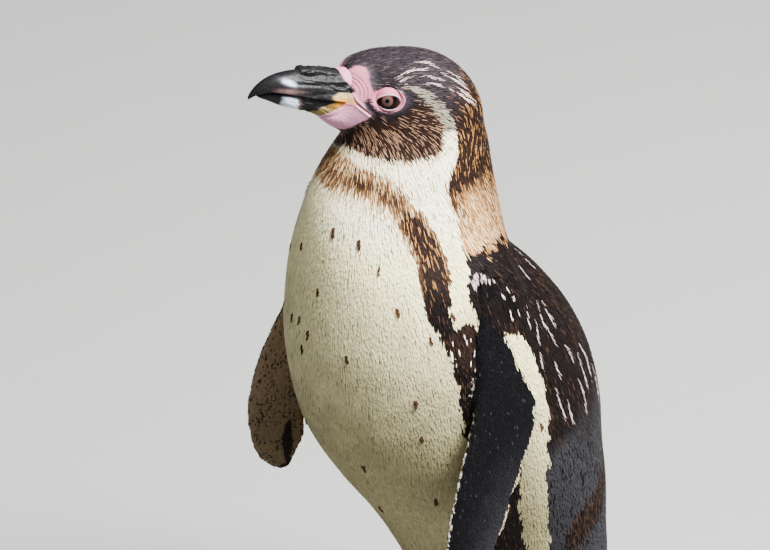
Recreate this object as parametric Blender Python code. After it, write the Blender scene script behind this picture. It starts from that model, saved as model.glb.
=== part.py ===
"""Humboldt penguin, standing, life size: a still display model.

Metres, +Z up. The breast faces -Y, so the bird's left side is +X. The origin is on the floor, under
the middle of the model's box. The flesh is modelled whole from lofted forms and parted with thin cuts.
"""

import math
from collections import namedtuple

import bmesh
import bpy
from mathutils import Matrix, Vector

# ---------------------------------------------------------------- driving dimensions, in metres

GAP = 0.0003  # clearance between touching pieces
CLAW_GAP = 0.0004

# Trunk and neck: level sections, from the vent up into the head
Section = namedtuple("Section", "height back half_width half_depth")
TRUNK = (
    Section(0.050, 0.050, 0.016, 0.016),
    Section(0.060, 0.050, 0.036, 0.036),
    Section(0.080, 0.051, 0.050, 0.050),
    Section(0.108, 0.048, 0.058, 0.062),
    Section(0.143, 0.038, 0.064, 0.069),
    Section(0.174, 0.028, 0.070, 0.077),
    Section(0.208, 0.013, 0.078, 0.086),
    Section(0.241, 0.002, 0.082, 0.094),
    Section(0.272, -0.0065, 0.082, 0.0945),
    Section(0.302, -0.016, 0.080, 0.089),
    Section(0.328, -0.0255, 0.075, 0.0785),
    Section(0.352, -0.0355, 0.067, 0.066),
    Section(0.378, -0.0365, 0.054, 0.0625),
    Section(0.405, -0.0345, 0.044, 0.0565),
    Section(0.425, -0.029, 0.038, 0.048),
    Section(0.448, -0.024, 0.027, 0.034),
)
TRUNK_RINGS = 72

# Head: sections across its own axis, which runs forward from the skull's middle towards the bill
HEAD_CENTRE = Vector((0.0003, -0.0234, 0.4494))
HEAD_TURN = math.radians(13)  # to the bird's right
HEAD_LIFT = math.radians(10)
HEAD_ROLL = math.radians(13.5)  # crown towards the bird's right
HeadSection = namedtuple("HeadSection", "forward middle half_width up down")
HEAD = (
    HeadSection(-0.0405, -0.011, 0.003, 0.003, 0.003),
    HeadSection(-0.0385, -0.010, 0.0105, 0.009, 0.012),
    HeadSection(-0.0325, -0.006, 0.0185, 0.0170, 0.019),
    HeadSection(-0.0210, 0.000, 0.0255, 0.0225, 0.028),
    HeadSection(-0.0050, 0.000, 0.0285, 0.0298, 0.033),
    HeadSection(0.0115, 0.000, 0.0280, 0.0312, 0.032),
    HeadSection(0.0240, 0.000, 0.0250, 0.0308, 0.028),
    HeadSection(0.0335, 0.000, 0.0208, 0.0296, 0.025),
    HeadSection(0.0400, 0.000, 0.0172, 0.0282, 0.0225),
    HeadSection(0.0450, 0.000, 0.0142, 0.0243, 0.0205),
    HeadSection(0.0500, -0.004, 0.0118, 0.0150, 0.0155),
    HeadSection(0.0555, -0.0115, 0.0095, 0.0050, 0.0065),
)
HEAD_RINGS = 34
CHEEK_SIZE = Vector((0.022, 0.022, 0.022))
CHEEK_PLACE = Vector((0.000, 0.010, -0.016))  # forward, left, up from the skull's middle

# Bill, in the head's axes
BillSection = namedtuple("BillSection", "forward gape edge half_width")
UPPER_BILL = (
    BillSection(0.0340, -0.0030, 0.0165, 0.0118),
    BillSection(0.0460, -0.0010, 0.0175, 0.0114),
    BillSection(0.0560, 0.0000, 0.0165, 0.0104),
    BillSection(0.0675, 0.0010, 0.0167, 0.0095),
    BillSection(0.0790, 0.0022, 0.0157, 0.0083),
    BillSection(0.0880, 0.0032, 0.0138, 0.0068),
    BillSection(0.0950, 0.0030, 0.0108, 0.0049),
    BillSection(0.1005, 0.0014, 0.0066, 0.0030),
    BillSection(0.1040, -0.0006, 0.0028, 0.0013),
)
LOWER_BILL = (
    BillSection(0.0340, -0.0034, -0.0190, 0.0110),
    BillSection(0.0460, -0.0014, -0.0180, 0.0104),
    BillSection(0.0560, -0.0004, -0.0131, 0.0092),
    BillSection(0.0675, 0.0006, -0.0087, 0.0081),
    BillSection(0.0790, 0.0018, -0.0066, 0.0070),
    BillSection(0.0868, 0.0026, -0.0046, 0.0056),
    BillSection(0.0935, 0.0022, -0.0023, 0.0039),
    BillSection(0.0985, 0.0008, -0.0007, 0.0018),
)

BILL_RINGS = 15

EYE_RADIUS = 0.0080
EYE_PLACE = Vector((0.0260, 0.0166, 0.0026))  # forward, left, up from the skull's middle

# Flippers: an axis from shoulder to tip, and the edges' distances from it
SHOULDER = Vector((0.066, -0.018, 0.358))
SHOULDER_SIZE = Vector((0.027, 0.031, 0.038))
SHOULDER_SINK = Vector((-0.016, 0.002, -0.025))  # from the flipper's root to the shoulder's middle
LEFT_REACH = Vector((0.028, -0.039, -0.189))
LEFT_BEND = Vector((0.0, 0.0, 0.0))  # how far the axis leaves the straight line at its middle
RIGHT_REACH = Vector((-0.018, -0.049, -0.186))
RIGHT_BEND = Vector((0.003, -0.034, 0.0))
FLIPPER_BOW = 0.006  # how far the flipper's middle bulges outward
Chord = namedtuple("Chord", "share ahead behind thick")
FLIPPER = (
    Chord(-0.03, 0.004, 0.005, 0.007),
    Chord(0.01, 0.009, 0.010, 0.013),
    Chord(0.16, 0.008, 0.015, 0.014),
    Chord(0.28, 0.006, 0.026, 0.0125),
    Chord(0.38, 0.006, 0.039, 0.011),
    Chord(0.46, 0.008, 0.043, 0.010),
    Chord(0.58, 0.012, 0.036, 0.009),
    Chord(0.72, 0.015, 0.030, 0.008),
    Chord(0.84, 0.015, 0.026, 0.007),
    Chord(0.92, 0.012, 0.022, 0.006),
    Chord(0.97, 0.006, 0.015, 0.005),
    Chord(1.00, 0.001, 0.005, 0.003),
)
FLIPPER_RINGS = 17

# Legs and feet
HIP = Vector((0.035, 0.037, 0.097))
THIGH_SIZE = Vector((0.0335, 0.044, 0.054))
ANKLE = Vector((0.042, 0.046, 0.0365))
SHANK_TOP_RADIUS = 0.024
SHANK_FOOT_RADIUS = 0.0130
TARSUS_RADIUS = 0.0112
SOLE_THICK = 0.009
HEEL_BACK = 0.062
Toe = namedtuple("Toe", "name splay length half_width")
TOES = (
    Toe("inner", math.radians(-20), 0.069, 0.0075),
    Toe("middle", math.radians(4), 0.086, 0.0085),
    Toe("outer", math.radians(27), 0.077, 0.0080),
)
TOE_RINGS = 9
WEB_THICK = 0.0036
WEB_DIP = 0.84  # how far along its toes a web reaches at its middle
HEEL_SIZE = Vector((0.0125, 0.015, 0.010))
HALLUX_SIZE = Vector((0.0055, 0.0040, 0.0038))
CLAW_LENGTH = 0.013
CLAW_RADIUS = 0.0030

# Tail: stiff feathers in a fan
TAIL_ROOT = Vector((0.0, 0.086, 0.104))
TAIL_SLOPE = math.radians(58)  # below level
TAIL_FEATHERS = 12
TAIL_LENGTH = 0.084
TAIL_ROOT_HALF_WIDTH = 0.021
TAIL_FAN = math.radians(15)
TAIL_THICK = 0.0050
TAIL_FEATHER_HALF_WIDTH = 0.0070

# Where the flesh is parted
NECK_CUT_HEIGHT = 0.375
HEAD_CUT = Vector((0.0, -0.020, 0.430))
HEAD_CUT_SLOPE = math.radians(-16)  # the cut rises to the nape

BODY_VOXEL = 0.0040
TRUNK_SHARE = 0.080  # faces kept of the fine blank, part by part
NECK_SHARE = 0.10
HEAD_SHARE = 0.20
FOOT_VOXEL = 0.0011
FOOT_SHARE = 0.026

# ---------------------------------------------------------------- helpers


def clear_scene():
    for obj in list(bpy.data.objects):
        bpy.data.objects.remove(obj, do_unlink=True)
    for mesh in list(bpy.data.meshes):
        bpy.data.meshes.remove(mesh)


def material(name, colour, roughness, metallic=0.0):
    made = bpy.data.materials.new(name)
    made.use_nodes = True
    shader = made.node_tree.nodes["Principled BSDF"]
    shader.inputs["Base Color"].default_value = (*colour, 1.0)
    shader.inputs["Roughness"].default_value = roughness
    shader.inputs["Metallic"].default_value = metallic
    return made


def object_from(name, bm, finish=None):
    """A new object that holds bm, with its faces turned outwards."""
    bmesh.ops.recalc_face_normals(bm, faces=bm.faces)
    mesh = bpy.data.meshes.new(name)
    bm.to_mesh(mesh)
    bm.free()
    if finish:
        mesh.materials.append(finish)
    mesh.shade_smooth()
    obj = bpy.data.objects.new(name, mesh)
    bpy.context.scene.collection.objects.link(obj)
    return obj


def between(stations, share):
    """The station at this share of the list, by a Catmull-Rom curve through every field."""
    place = min(max(share, 0.0), 1.0) * (len(stations) - 1)
    at = min(int(place), len(stations) - 2)
    t = place - at
    near = [stations[min(max(i, 0), len(stations) - 1)] for i in range(at - 1, at + 3)]
    fields = []
    for a, b, c, d in zip(*near):
        curve = 2 * b + (c - a) * t + (2 * a - 5 * b + 4 * c - d) * t**2
        fields.append((curve + (3 * b - a - 3 * c + d) * t**3) / 2)
    return type(stations[0])(*fields)


def loft(rings):
    """A bmesh bridged from ring to ring, with a face over each end."""
    bm = bmesh.new()
    loops = []
    for ring in rings:
        verts = [bm.verts.new(point) for point in ring]
        loops.append([bm.edges.new((verts[i - 1], verts[i])) for i in range(len(verts))])
    for low, high in zip(loops, loops[1:]):
        bmesh.ops.bridge_loops(bm, edges=low + high)
    for end in (loops[0], loops[-1]):
        bmesh.ops.edgeloop_fill(bm, edges=end)
    return bm


def oval(count, right, up, down=None):
    """Points round an oval, with its own height above and below the middle: (across, up) pairs."""
    down = up if down is None else down
    points = []
    for i in range(count):
        angle = 2 * math.pi * (i + 0.5) / count
        height = math.sin(angle)
        points.append((right * math.cos(angle), height * (up if height > 0 else down)))
    return points


def ellipsoid(centre, size, axes=None, segments=24, rings=16):
    bm = bmesh.new()
    bmesh.ops.create_uvsphere(bm, u_segments=segments, v_segments=rings, radius=1.0)
    stretch = Matrix.Diagonal((*size, 1.0))
    turn = axes if axes else Matrix.Identity(4)
    bmesh.ops.transform(bm, matrix=Matrix.Translation(centre) @ turn @ stretch, verts=bm.verts)
    return bm


def joined(name, parts, finish=None):
    """One object that holds several closed shapes, to be merged by a remesh or a Boolean."""
    whole = bmesh.new()
    for bm in parts:
        bmesh.ops.recalc_face_normals(bm, faces=bm.faces)
        scratch = bpy.data.meshes.new("scratch")
        bm.to_mesh(scratch)
        bm.free()
        whole.from_mesh(scratch)
        bpy.data.meshes.remove(scratch)
    mesh = bpy.data.meshes.new(name)
    whole.to_mesh(mesh)
    whole.free()
    if finish:
        mesh.materials.append(finish)
    obj = bpy.data.objects.new(name, mesh)
    bpy.context.scene.collection.objects.link(obj)
    return obj


def apply_modifiers(obj):
    graph = bpy.context.evaluated_depsgraph_get()
    mesh = bpy.data.meshes.new_from_object(obj.evaluated_get(graph))
    obj.modifiers.clear()
    old, obj.data = obj.data, mesh
    bpy.data.meshes.remove(old)
    return obj


def boolean(obj, other, operation):
    cut = obj.modifiers.new(operation.lower(), "BOOLEAN")
    cut.operation = operation
    cut.object = other
    cut.solver = "EXACT"
    cut.use_self = operation == "UNION"
    return apply_modifiers(obj)


def swollen(obj, distance):
    """A hidden copy of obj, grown by distance, to cut a neighbour clear of it."""
    copy = bpy.data.objects.new(obj.name + "_cutter", obj.data.copy())
    bpy.context.scene.collection.objects.link(copy)
    grow = copy.modifiers.new("grow", "DISPLACE")
    grow.strength = distance
    grow.mid_level = 0.0
    apply_modifiers(copy)
    copy.hide_render = True
    copy.display_type = "WIRE"
    return copy


def cut_clear(obj, neighbours, gap=GAP):
    """Cuts obj back so that it meets each neighbour with a small gap, and keeps its largest body."""
    for neighbour in neighbours:
        cutter = swollen(neighbour, gap)
        boolean(obj, cutter, "DIFFERENCE")
        bpy.data.objects.remove(cutter, do_unlink=True)
    keep_largest(obj)
    return obj


def keep_largest(obj):
    """Removes the slivers that a cut leaves beside the main body."""
    bm = bmesh.new()
    bm.from_mesh(obj.data)
    todo, islands = set(bm.verts), []
    while todo:
        island, edge = set(), [todo.pop()]
        while edge:
            vert = edge.pop()
            island.add(vert)
            for link in vert.link_edges:
                other = link.other_vert(vert)
                if other in todo:
                    todo.remove(other)
                    edge.append(other)
        islands.append(island)
    islands.sort(key=len)
    spare = [vert for island in islands[:-1] for vert in island]
    bmesh.ops.delete(bm, geom=spare, context="VERTS")
    bm.to_mesh(obj.data)
    bm.free()


def head_axes():
    """The head's forward, left and up directions, as a matrix placed at the skull's middle."""
    forward = Vector(
        (
            -math.sin(HEAD_TURN) * math.cos(HEAD_LIFT),
            -math.cos(HEAD_TURN) * math.cos(HEAD_LIFT),
            math.sin(HEAD_LIFT),
        )
    )
    left = Vector((0, 0, 1)).cross(forward).normalized()
    up = forward.cross(left)
    turn = Matrix.Rotation(HEAD_ROLL, 3, forward)
    left, up = turn @ left, turn @ up
    frame = Matrix((forward, left, up)).transposed().to_4x4()
    return Matrix.Translation(HEAD_CENTRE) @ frame


# ---------------------------------------------------------------- the body's forms


def trunk_form():
    rings = []
    for i in range(TRUNK_RINGS):
        s = between(TRUNK, i / (TRUNK_RINGS - 1))
        around = oval(56, s.half_width, s.half_depth)
        rings.append([(x, s.back + y, s.height) for x, y in around])
    return loft(rings)


def head_form(axes):
    rings = []
    for i in range(HEAD_RINGS):
        s = between(HEAD, i / (HEAD_RINGS - 1))
        around = oval(44, s.half_width, s.up, s.down)
        rings.append([axes @ Vector((s.forward, x, s.middle + z)) for x, z in around])
    return loft(rings)


def cheek_forms(axes):
    turn = axes.to_3x3().to_4x4()
    for side in (-1, 1):
        place = Vector((CHEEK_PLACE.x, CHEEK_PLACE.y * side, CHEEK_PLACE.z))
        yield ellipsoid(axes @ place, CHEEK_SIZE, turn)


def mirrored(vector, side):
    return Vector((vector.x * side, vector.y, vector.z))


def thigh_forms():
    for side in (-1, 1):
        yield ellipsoid(mirrored(HIP, side), THIGH_SIZE)


def shoulder_forms():
    for side in (-1, 1):
        yield ellipsoid(mirrored(SHOULDER + SHOULDER_SINK, side), SHOULDER_SIZE)


def body_blank(axes):
    parts = [trunk_form(), head_form(axes), *cheek_forms(axes), *thigh_forms(), *shoulder_forms()]
    blank = joined("body_blank", parts)
    merge = blank.modifiers.new("merge", "REMESH")
    merge.mode = "VOXEL"
    merge.voxel_size = BODY_VOXEL
    soften = blank.modifiers.new("soften", "SMOOTH")
    soften.factor = 0.5
    soften.iterations = 7
    return apply_modifiers(blank)


def parted(blank, name, share, cuts, finish):
    """The part of the blank on the kept side of each cut, with its own share of the faces."""
    part = bpy.data.objects.new(name, blank.data.copy())
    bpy.context.scene.collection.objects.link(part)
    fewer = part.modifiers.new("fewer", "DECIMATE")
    fewer.ratio = share
    apply_modifiers(part)
    bm = bmesh.new()
    bm.from_mesh(part.data)
    for point, kept_side in cuts:
        geometry = bm.verts[:] + bm.edges[:] + bm.faces[:]
        place = point + kept_side * (GAP / 2)
        bmesh.ops.bisect_plane(bm, geom=geometry, plane_co=place, plane_no=kept_side, clear_inner=True)
        rim = [edge for edge in bm.edges if edge.is_boundary]
        bmesh.ops.edgeloop_fill(bm, edges=rim)
    bpy.data.objects.remove(part, do_unlink=True)
    return object_from(name, bm, finish)


def head_neck_trunk(axes, dark, pale):
    blank = body_blank(axes)
    level = Vector((0, 0, 1))
    upward = Matrix.Rotation(-HEAD_CUT_SLOPE, 3, "X") @ level
    throat = Vector((0, 0, NECK_CUT_HEIGHT))
    head = parted(blank, "head", HEAD_SHARE, [(HEAD_CUT, upward)], dark)
    neck = parted(blank, "neck", NECK_SHARE, [(HEAD_CUT, -upward), (throat, level)], pale)
    trunk = parted(blank, "trunk", TRUNK_SHARE, [(throat, -level)], pale)
    bpy.data.objects.remove(blank, do_unlink=True)
    return head, neck, trunk


# ---------------------------------------------------------------- bill and eyes


def bill_half(name, sections, axes, finish):
    """A mandible: flat along the gape, domed to its outer edge, narrowing to the tip."""
    rings = []
    count = 11
    for i in range(BILL_RINGS):
        s = between(sections, i / (BILL_RINGS - 1))
        height = s.edge - s.gape
        ring = []
        for k in range(count):
            angle = math.pi * k / (count - 1)
            across = s.half_width * math.copysign(abs(math.cos(angle)) ** 0.8, math.cos(angle))
            rise = height * math.sin(angle) ** 0.85
            ring.append(axes @ Vector((s.forward, across, s.gape + rise)))
        rings.append(ring)
    return object_from(name, loft(rings), finish)


def eyes(head, axes, finish):
    for name, side in (("eye_left", 1), ("eye_right", -1)):
        place = axes @ Vector((EYE_PLACE.x, EYE_PLACE.y * side, EYE_PLACE.z))
        size = (EYE_RADIUS,) * 3
        eye = object_from(name, ellipsoid(place, size, segments=14, rings=8), finish)
        cut_clear(head, [eye])


# ---------------------------------------------------------------- flippers


def flipper(name, side, reach, bend, finish):
    root = mirrored(SHOULDER, side)
    rings = []
    for i in range(FLIPPER_RINGS):
        s = between(FLIPPER, i / (FLIPPER_RINGS - 1))
        span = (reach + bend * 4 * (1 - 2 * s.share)).normalized()
        chord = (Vector((0, 1, 0)) - span.y * span).normalized()
        outward = span.cross(chord) * side
        bulge = FLIPPER_BOW * math.sin(math.pi * min(max(s.share, 0), 1))
        middle = root + reach * s.share + bend * 4 * s.share * (1 - s.share) + outward * bulge
        width = s.ahead + s.behind
        ring = []
        for x, z in oval(12, 0.5, 0.5):
            along = 0.5 + x  # 0 at the leading edge, 1 at the trailing edge
            thickness = s.thick * (1.0 - 0.55 * along)
            ring.append(middle + chord * (width * along - s.ahead) + outward * z * thickness)
        rings.append(ring)
    return object_from(name, loft(rings), finish)


# ---------------------------------------------------------------- legs, feet and claws


def shank(side, name, finish):
    """The short feathered leg between the belly and the foot."""
    top, bottom = mirrored(HIP, side), mirrored(ANKLE, side)
    rings = []
    for i in range(8):
        t = i / 7
        middle = top.lerp(bottom, t)
        radius = SHANK_TOP_RADIUS + (SHANK_FOOT_RADIUS - SHANK_TOP_RADIUS) * t**0.8
        rings.append([middle + Vector((x, y, 0)) for x, y in oval(18, radius, radius * 1.15)])
    return object_from(name, loft(rings), finish)


def toe_direction(toe, side):
    return Vector((math.sin(toe.splay) * side, -math.cos(toe.splay), 0))


def toe_form(toe, side, root):
    along = toe_direction(toe, side)
    across = Vector((-along.y, along.x, 0))
    rings = []
    for i in range(TOE_RINGS):
        t = i / (TOE_RINGS - 1)
        knuckle = 1.0 + 0.10 * math.cos(t * 3 * 2 * math.pi)
        taper = (1.0 - 0.34 * t) * knuckle
        end = math.sqrt(max(1.0 - max(t - 0.86, 0) ** 2 / 0.14**2 * 0.75, 0.0))
        width = toe.half_width * taper * end
        height = SOLE_THICK * (1.15 - 0.45 * t) * (0.6 + 0.4 * end)
        middle = root + along * (toe.length * t)
        rings.append(
            [
                middle + across * x + Vector((0, 0, height * 0.42 + z))
                for x, z in oval(12, width, height * 0.58, height * 0.62)
            ]
        )
    return loft(rings)


def web_form(first, second, side, root):
    """A thin sheet between two toes, with a scooped front edge."""
    below = Vector((0, 0, -WEB_THICK))
    outline = [root + below]
    steps = 5
    for i in range(steps + 1):
        t = i / steps
        angle = first.splay + (second.splay - first.splay) * t
        full = first.length + (second.length - first.length) * t
        dip = WEB_DIP + (0.94 - WEB_DIP) * abs(2 * t - 1) ** 1.5
        reach = Vector((math.sin(angle) * side, -math.cos(angle), 0)) * full * dip
        outline.append(root + reach + below)
    bm = bmesh.new()
    low = [bm.verts.new(point) for point in outline]
    face = bm.faces.new(low)
    lifted = bmesh.ops.extrude_face_region(bm, geom=[face])["geom"]
    raised = [item for item in lifted if isinstance(item, bmesh.types.BMVert)]
    bmesh.ops.translate(bm, vec=(0, 0, 2 * WEB_THICK), verts=raised)
    return bm


def foot(name, side, finish):
    """Toes, webs, heel and tarsus merged into one form, cut level at the floor and at the ankle."""
    ankle = mirrored(ANKLE, side)
    root = Vector((ankle.x, HEEL_BACK - 0.014, 0.0))
    parts = [toe_form(toe, side, root) for toe in TOES]
    parts.append(web_form(TOES[0], TOES[1], side, root))
    parts.append(web_form(TOES[1], TOES[2], side, root))
    parts.append(ellipsoid(root + Vector((0, 0.002, 0.007)), HEEL_SIZE))
    hallux_root = root + Vector((-0.010 * side, -0.004, 0.0085))
    parts.append(ellipsoid(hallux_root, HALLUX_SIZE))
    tarsus = []
    for height, lean, swell in ((0.006, 0.003, 1.0), (0.020, 0.001, 0.88), (0.045, 0.0, 1.05)):
        place = Vector((ankle.x, ankle.y + lean, height))
        radius = TARSUS_RADIUS * swell
        tarsus.append([place + Vector((x, y, 0)) for x, y in oval(20, radius, radius * 1.1)])
    parts.append(loft(tarsus))
    blank = joined("foot_blank", parts)
    merge = blank.modifiers.new("merge", "REMESH")
    merge.mode = "VOXEL"
    merge.voxel_size = FOOT_VOXEL
    soften = blank.modifiers.new("soften", "SMOOTH")
    soften.factor = 0.5
    soften.iterations = 2
    apply_modifiers(blank)
    up = Vector((0, 0, 1))
    ends = [(Vector((0, 0, 0)), up), (Vector((0, 0, ankle.z - GAP / 2)), -up)]
    whole = parted(blank, name, FOOT_SHARE, ends, finish)
    bpy.data.objects.remove(blank, do_unlink=True)
    return whole


def claw(name, base, along, length, radius, finish):
    """A curved, pointed claw that starts inside its toe and bends towards the floor."""
    across = along.cross(Vector((0, 0, 1))).normalized()
    rings = []
    for i in range(5):
        t = i / 4
        size = radius * (1 - t) ** 0.7 + 0.0003
        drop = Vector((0, 0, -0.35 * length * t**2))
        middle = base + along * (length * t) + drop
        up = Vector((0, 0, 1))
        rings.append([middle + across * x + up * z for x, z in oval(6, size * 0.9, size)])
    return object_from(name, loft(rings), finish)


def claws(side, side_name, foot_piece, finish):
    ankle = mirrored(ANKLE, side)
    root = Vector((ankle.x, HEEL_BACK - 0.014, 0.0))
    for toe in TOES:
        along = toe_direction(toe, side)
        base = root + along * (toe.length - 0.0035) + Vector((0, 0, 0.0052))
        name = f"claw_{side_name}_{toe.name}"
        piece = claw(name, base, along, CLAW_LENGTH, CLAW_RADIUS, finish)
        cut_clear(piece, [foot_piece], CLAW_GAP)
    inward = Vector((-side, -0.6, 0)).normalized()
    base = root + Vector((-0.0120 * side, -0.0052, 0.0085))
    name = f"claw_{side_name}_rear"
    piece = claw(name, base, inward, CLAW_LENGTH * 0.62, CLAW_RADIUS * 0.7, finish)
    cut_clear(piece, [foot_piece], CLAW_GAP)


# ---------------------------------------------------------------- tail


def tail_feather(order):
    """One stiff tail feather. The middle ones are longest and lie on top."""
    side = 2 * order / (TAIL_FEATHERS - 1) - 1
    down = Vector((0, math.cos(TAIL_SLOPE), -math.sin(TAIL_SLOPE)))
    over = Vector((0, math.sin(TAIL_SLOPE), math.cos(TAIL_SLOPE)))
    along = (down * math.cos(side * TAIL_FAN) + Vector((math.sin(side * TAIL_FAN), 0, 0))).normalized()
    across = over.cross(along)
    start = TAIL_ROOT + Vector((TAIL_ROOT_HALF_WIDTH * side, 0, 0)) - over * (0.006 * side**2)
    length = TAIL_LENGTH * (1 - 0.26 * side**2)
    thick = TAIL_THICK * (1 - 0.25 * abs(side))
    rings = []
    for i in range(5):
        t = i / 4
        width = TAIL_FEATHER_HALF_WIDTH * (1 - 0.2 * t) * math.sqrt(max(1 - t**6, 0.02))
        depth = thick * (1 - 0.72 * t)
        middle = start + along * (length * t)
        rings.append([middle + across * x + over * z for x, z in oval(6, width, depth / 2)])
    return loft(rings)


def tail(finish):
    """The feathers joined to the fleshy stump that they grow from."""
    down = Vector((0, math.cos(TAIL_SLOPE), -math.sin(TAIL_SLOPE)))
    stump_turn = Matrix.Rotation(-TAIL_SLOPE, 4, "X")
    stump_size = (TAIL_ROOT_HALF_WIDTH + 0.004, 0.026, 0.010)
    stump = ellipsoid(TAIL_ROOT - down * 0.004, stump_size, stump_turn, segments=16, rings=8)
    whole = joined("tail", [stump], finish)
    for order in range(TAIL_FEATHERS):
        feather = object_from("feather", tail_feather(order))
        boolean(whole, feather, "UNION")
        bpy.data.objects.remove(feather, do_unlink=True)
    whole.data.shade_smooth()
    return whole


# ---------------------------------------------------------------- the whole bird


def centre_over_origin():
    """Moves everything so that the model's box stands centred on the origin."""
    points = [v.co for obj in bpy.data.objects for v in obj.data.vertices]
    low = Vector([min(p[k] for p in points) for k in range(3)])
    high = Vector([max(p[k] for p in points) for k in range(3)])
    shift = Vector((-(low.x + high.x) / 2, -(low.y + high.y) / 2, -low.z))
    for obj in bpy.data.objects:
        obj.data.transform(Matrix.Translation(shift))


def main():
    clear_scene()
    plumage_dark = material("plumage_dark", (0.025, 0.023, 0.024), 0.6)
    plumage_pale = material("plumage_pale", (0.78, 0.74, 0.62), 0.75)
    horn = material("horn", (0.02, 0.02, 0.022), 0.35)
    iris = material("iris", (0.16, 0.05, 0.03), 0.1)
    hide = material("foot_skin", (0.05, 0.045, 0.045), 0.5)

    axes = head_axes()
    head, _, trunk = head_neck_trunk(axes, plumage_dark, plumage_pale)
    eyes(head, axes, iris)
    for name, sections in (("bill_upper", UPPER_BILL), ("bill_lower", LOWER_BILL)):
        cut_clear(bill_half(name, sections, axes, horn), [head])

    sides = (1, "left", LEFT_REACH, LEFT_BEND), (-1, "right", RIGHT_REACH, RIGHT_BEND)
    for side, side_name, reach, bend in sides:
        wing = flipper(f"flipper_{side_name}", side, reach, bend, plumage_dark)
        cut_clear(wing, [trunk])
        leg = shank(side, f"leg_{side_name}", plumage_pale)
        cut_clear(leg, [trunk])
        foot_piece = foot(f"foot_{side_name}", side, hide)
        claws(side, side_name, foot_piece, horn)

    fan = tail(plumage_dark)
    cut_clear(fan, [trunk])
    centre_over_origin()


main()
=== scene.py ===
"""A life-size standing penguin: one skin under a coat of modelled feathers, with horn, eyes and claws."""

import math

import bmesh
import bpy
import numpy as np
from mathutils import Matrix, Vector
from mathutils.bvhtree import BVHTree


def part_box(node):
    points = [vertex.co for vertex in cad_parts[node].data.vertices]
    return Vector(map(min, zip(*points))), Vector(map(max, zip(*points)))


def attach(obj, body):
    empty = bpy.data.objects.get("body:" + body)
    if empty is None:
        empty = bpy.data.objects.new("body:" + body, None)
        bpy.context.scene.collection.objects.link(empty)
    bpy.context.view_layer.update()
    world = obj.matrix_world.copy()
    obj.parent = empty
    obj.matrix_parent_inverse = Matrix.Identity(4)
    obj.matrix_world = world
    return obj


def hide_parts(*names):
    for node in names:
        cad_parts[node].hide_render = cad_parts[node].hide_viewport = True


bl_info = {
    "name": "Standing Penguin",
    "version": (1, 0, 0),
    "blender": (4, 5, 0),
    "location": "3D View > Sidebar > Penguin",
    "description": "Builds the skin, feathers, horn and eyes of a life-size standing penguin",
    "category": "Add Mesh",
}

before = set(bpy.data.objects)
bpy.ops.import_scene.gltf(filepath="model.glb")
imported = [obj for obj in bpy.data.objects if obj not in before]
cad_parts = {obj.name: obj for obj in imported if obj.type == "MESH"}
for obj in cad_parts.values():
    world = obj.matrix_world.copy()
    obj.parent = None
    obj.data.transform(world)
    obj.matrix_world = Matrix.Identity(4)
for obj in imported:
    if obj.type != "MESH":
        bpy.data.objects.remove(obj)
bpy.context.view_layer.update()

BODY = "root"
MM = 0.001
FLESH = ("head", "neck", "trunk", "flipper_left", "flipper_right", "leg_left", "leg_right")
FEET = ("foot_left", "foot_right")

# ---------------------------------------------------------------- the bird's own measures

HEAD_TURN = math.radians(13)
HEAD_LIFT = math.radians(10)
HEAD_ROLL = math.radians(13.5)
HEAD_CENTRE = np.array((0.0003, -0.0234, 0.4494))
EYE_PLACE = np.array((0.0260, 0.0166, 0.0026))  # forward, left and up of the head's centre
EYE_RADIUS = 0.0080
GAZE = np.array((0.42, 0.90, -0.02))

# Height and how far back the middle of the body lies there
SPINE = (
    (0.050, 0.050), (0.080, 0.051), (0.108, 0.048), (0.143, 0.038), (0.174, 0.028), (0.208, 0.013),
    (0.241, 0.002), (0.272, -0.0065), (0.302, -0.016), (0.328, -0.0255), (0.352, -0.0355),
    (0.378, -0.0365), (0.405, -0.0345), (0.425, -0.029), (0.448, -0.024),
)

# How many degrees the head is turned over the body, and the foot and run of the neck's turn, in metres
NECK_TURN, NECK_FOOT, NECK_RUN = 13, 0.375, 0.055

# The flippers' roots, what they reach to and how far they bend on the way, on the left (1) and the right (-1)
SHOULDER = np.array((0.066, -0.018, 0.358))
REACH = {1: np.array((0.028, -0.039, -0.189)), -1: np.array((-0.018, -0.049, -0.186))}
BEND = {1: np.array((0.0, 0.0, 0.0)), -1: np.array((0.003, -0.034, 0.0))}
FLIPPER_BOW = 0.006
# Share of the flipper's length, breadth ahead of its line and behind it
BLADE = (
    (0.0, 0.008, 0.008), (0.16, 0.008, 0.015), (0.28, 0.006, 0.026), (0.38, 0.006, 0.039),
    (0.46, 0.008, 0.043), (0.58, 0.012, 0.036), (0.72, 0.015, 0.030), (0.84, 0.015, 0.026),
    (0.92, 0.012, 0.022), (0.97, 0.006, 0.015), (1.0, 0.001, 0.005),
)

TAIL_ROOT = np.array((0.0, 0.086, 0.104))
TAIL_SLOPE = math.radians(58)
TAIL_FAN = math.radians(15)
TAIL_FEATHERS = 14
TAIL_LENGTH = 0.084
TAIL_HALF_ROOT = 0.021


def unit(vectors):
    """The same directions, each one long."""
    return vectors / np.maximum(np.linalg.norm(vectors, axis=-1, keepdims=True), 1e-12)


def turned(vector, axis, angle):
    """The vector turned about an axis by an angle."""
    side = np.cross(axis, vector)
    return vector * math.cos(angle) + side * math.sin(angle) + axis * (axis @ vector) * (1 - math.cos(angle))


def head_axes():
    """The head's forward, left and up directions, as rows."""
    lift = math.cos(HEAD_LIFT)
    forward = np.array((-math.sin(HEAD_TURN) * lift, -math.cos(HEAD_TURN) * lift, math.sin(HEAD_LIFT)))
    left = unit(np.cross((0, 0, 1), forward))
    up = np.cross(forward, left)
    return np.array((forward, turned(left, forward, HEAD_ROLL), turned(up, forward, HEAD_ROLL)))


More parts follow.
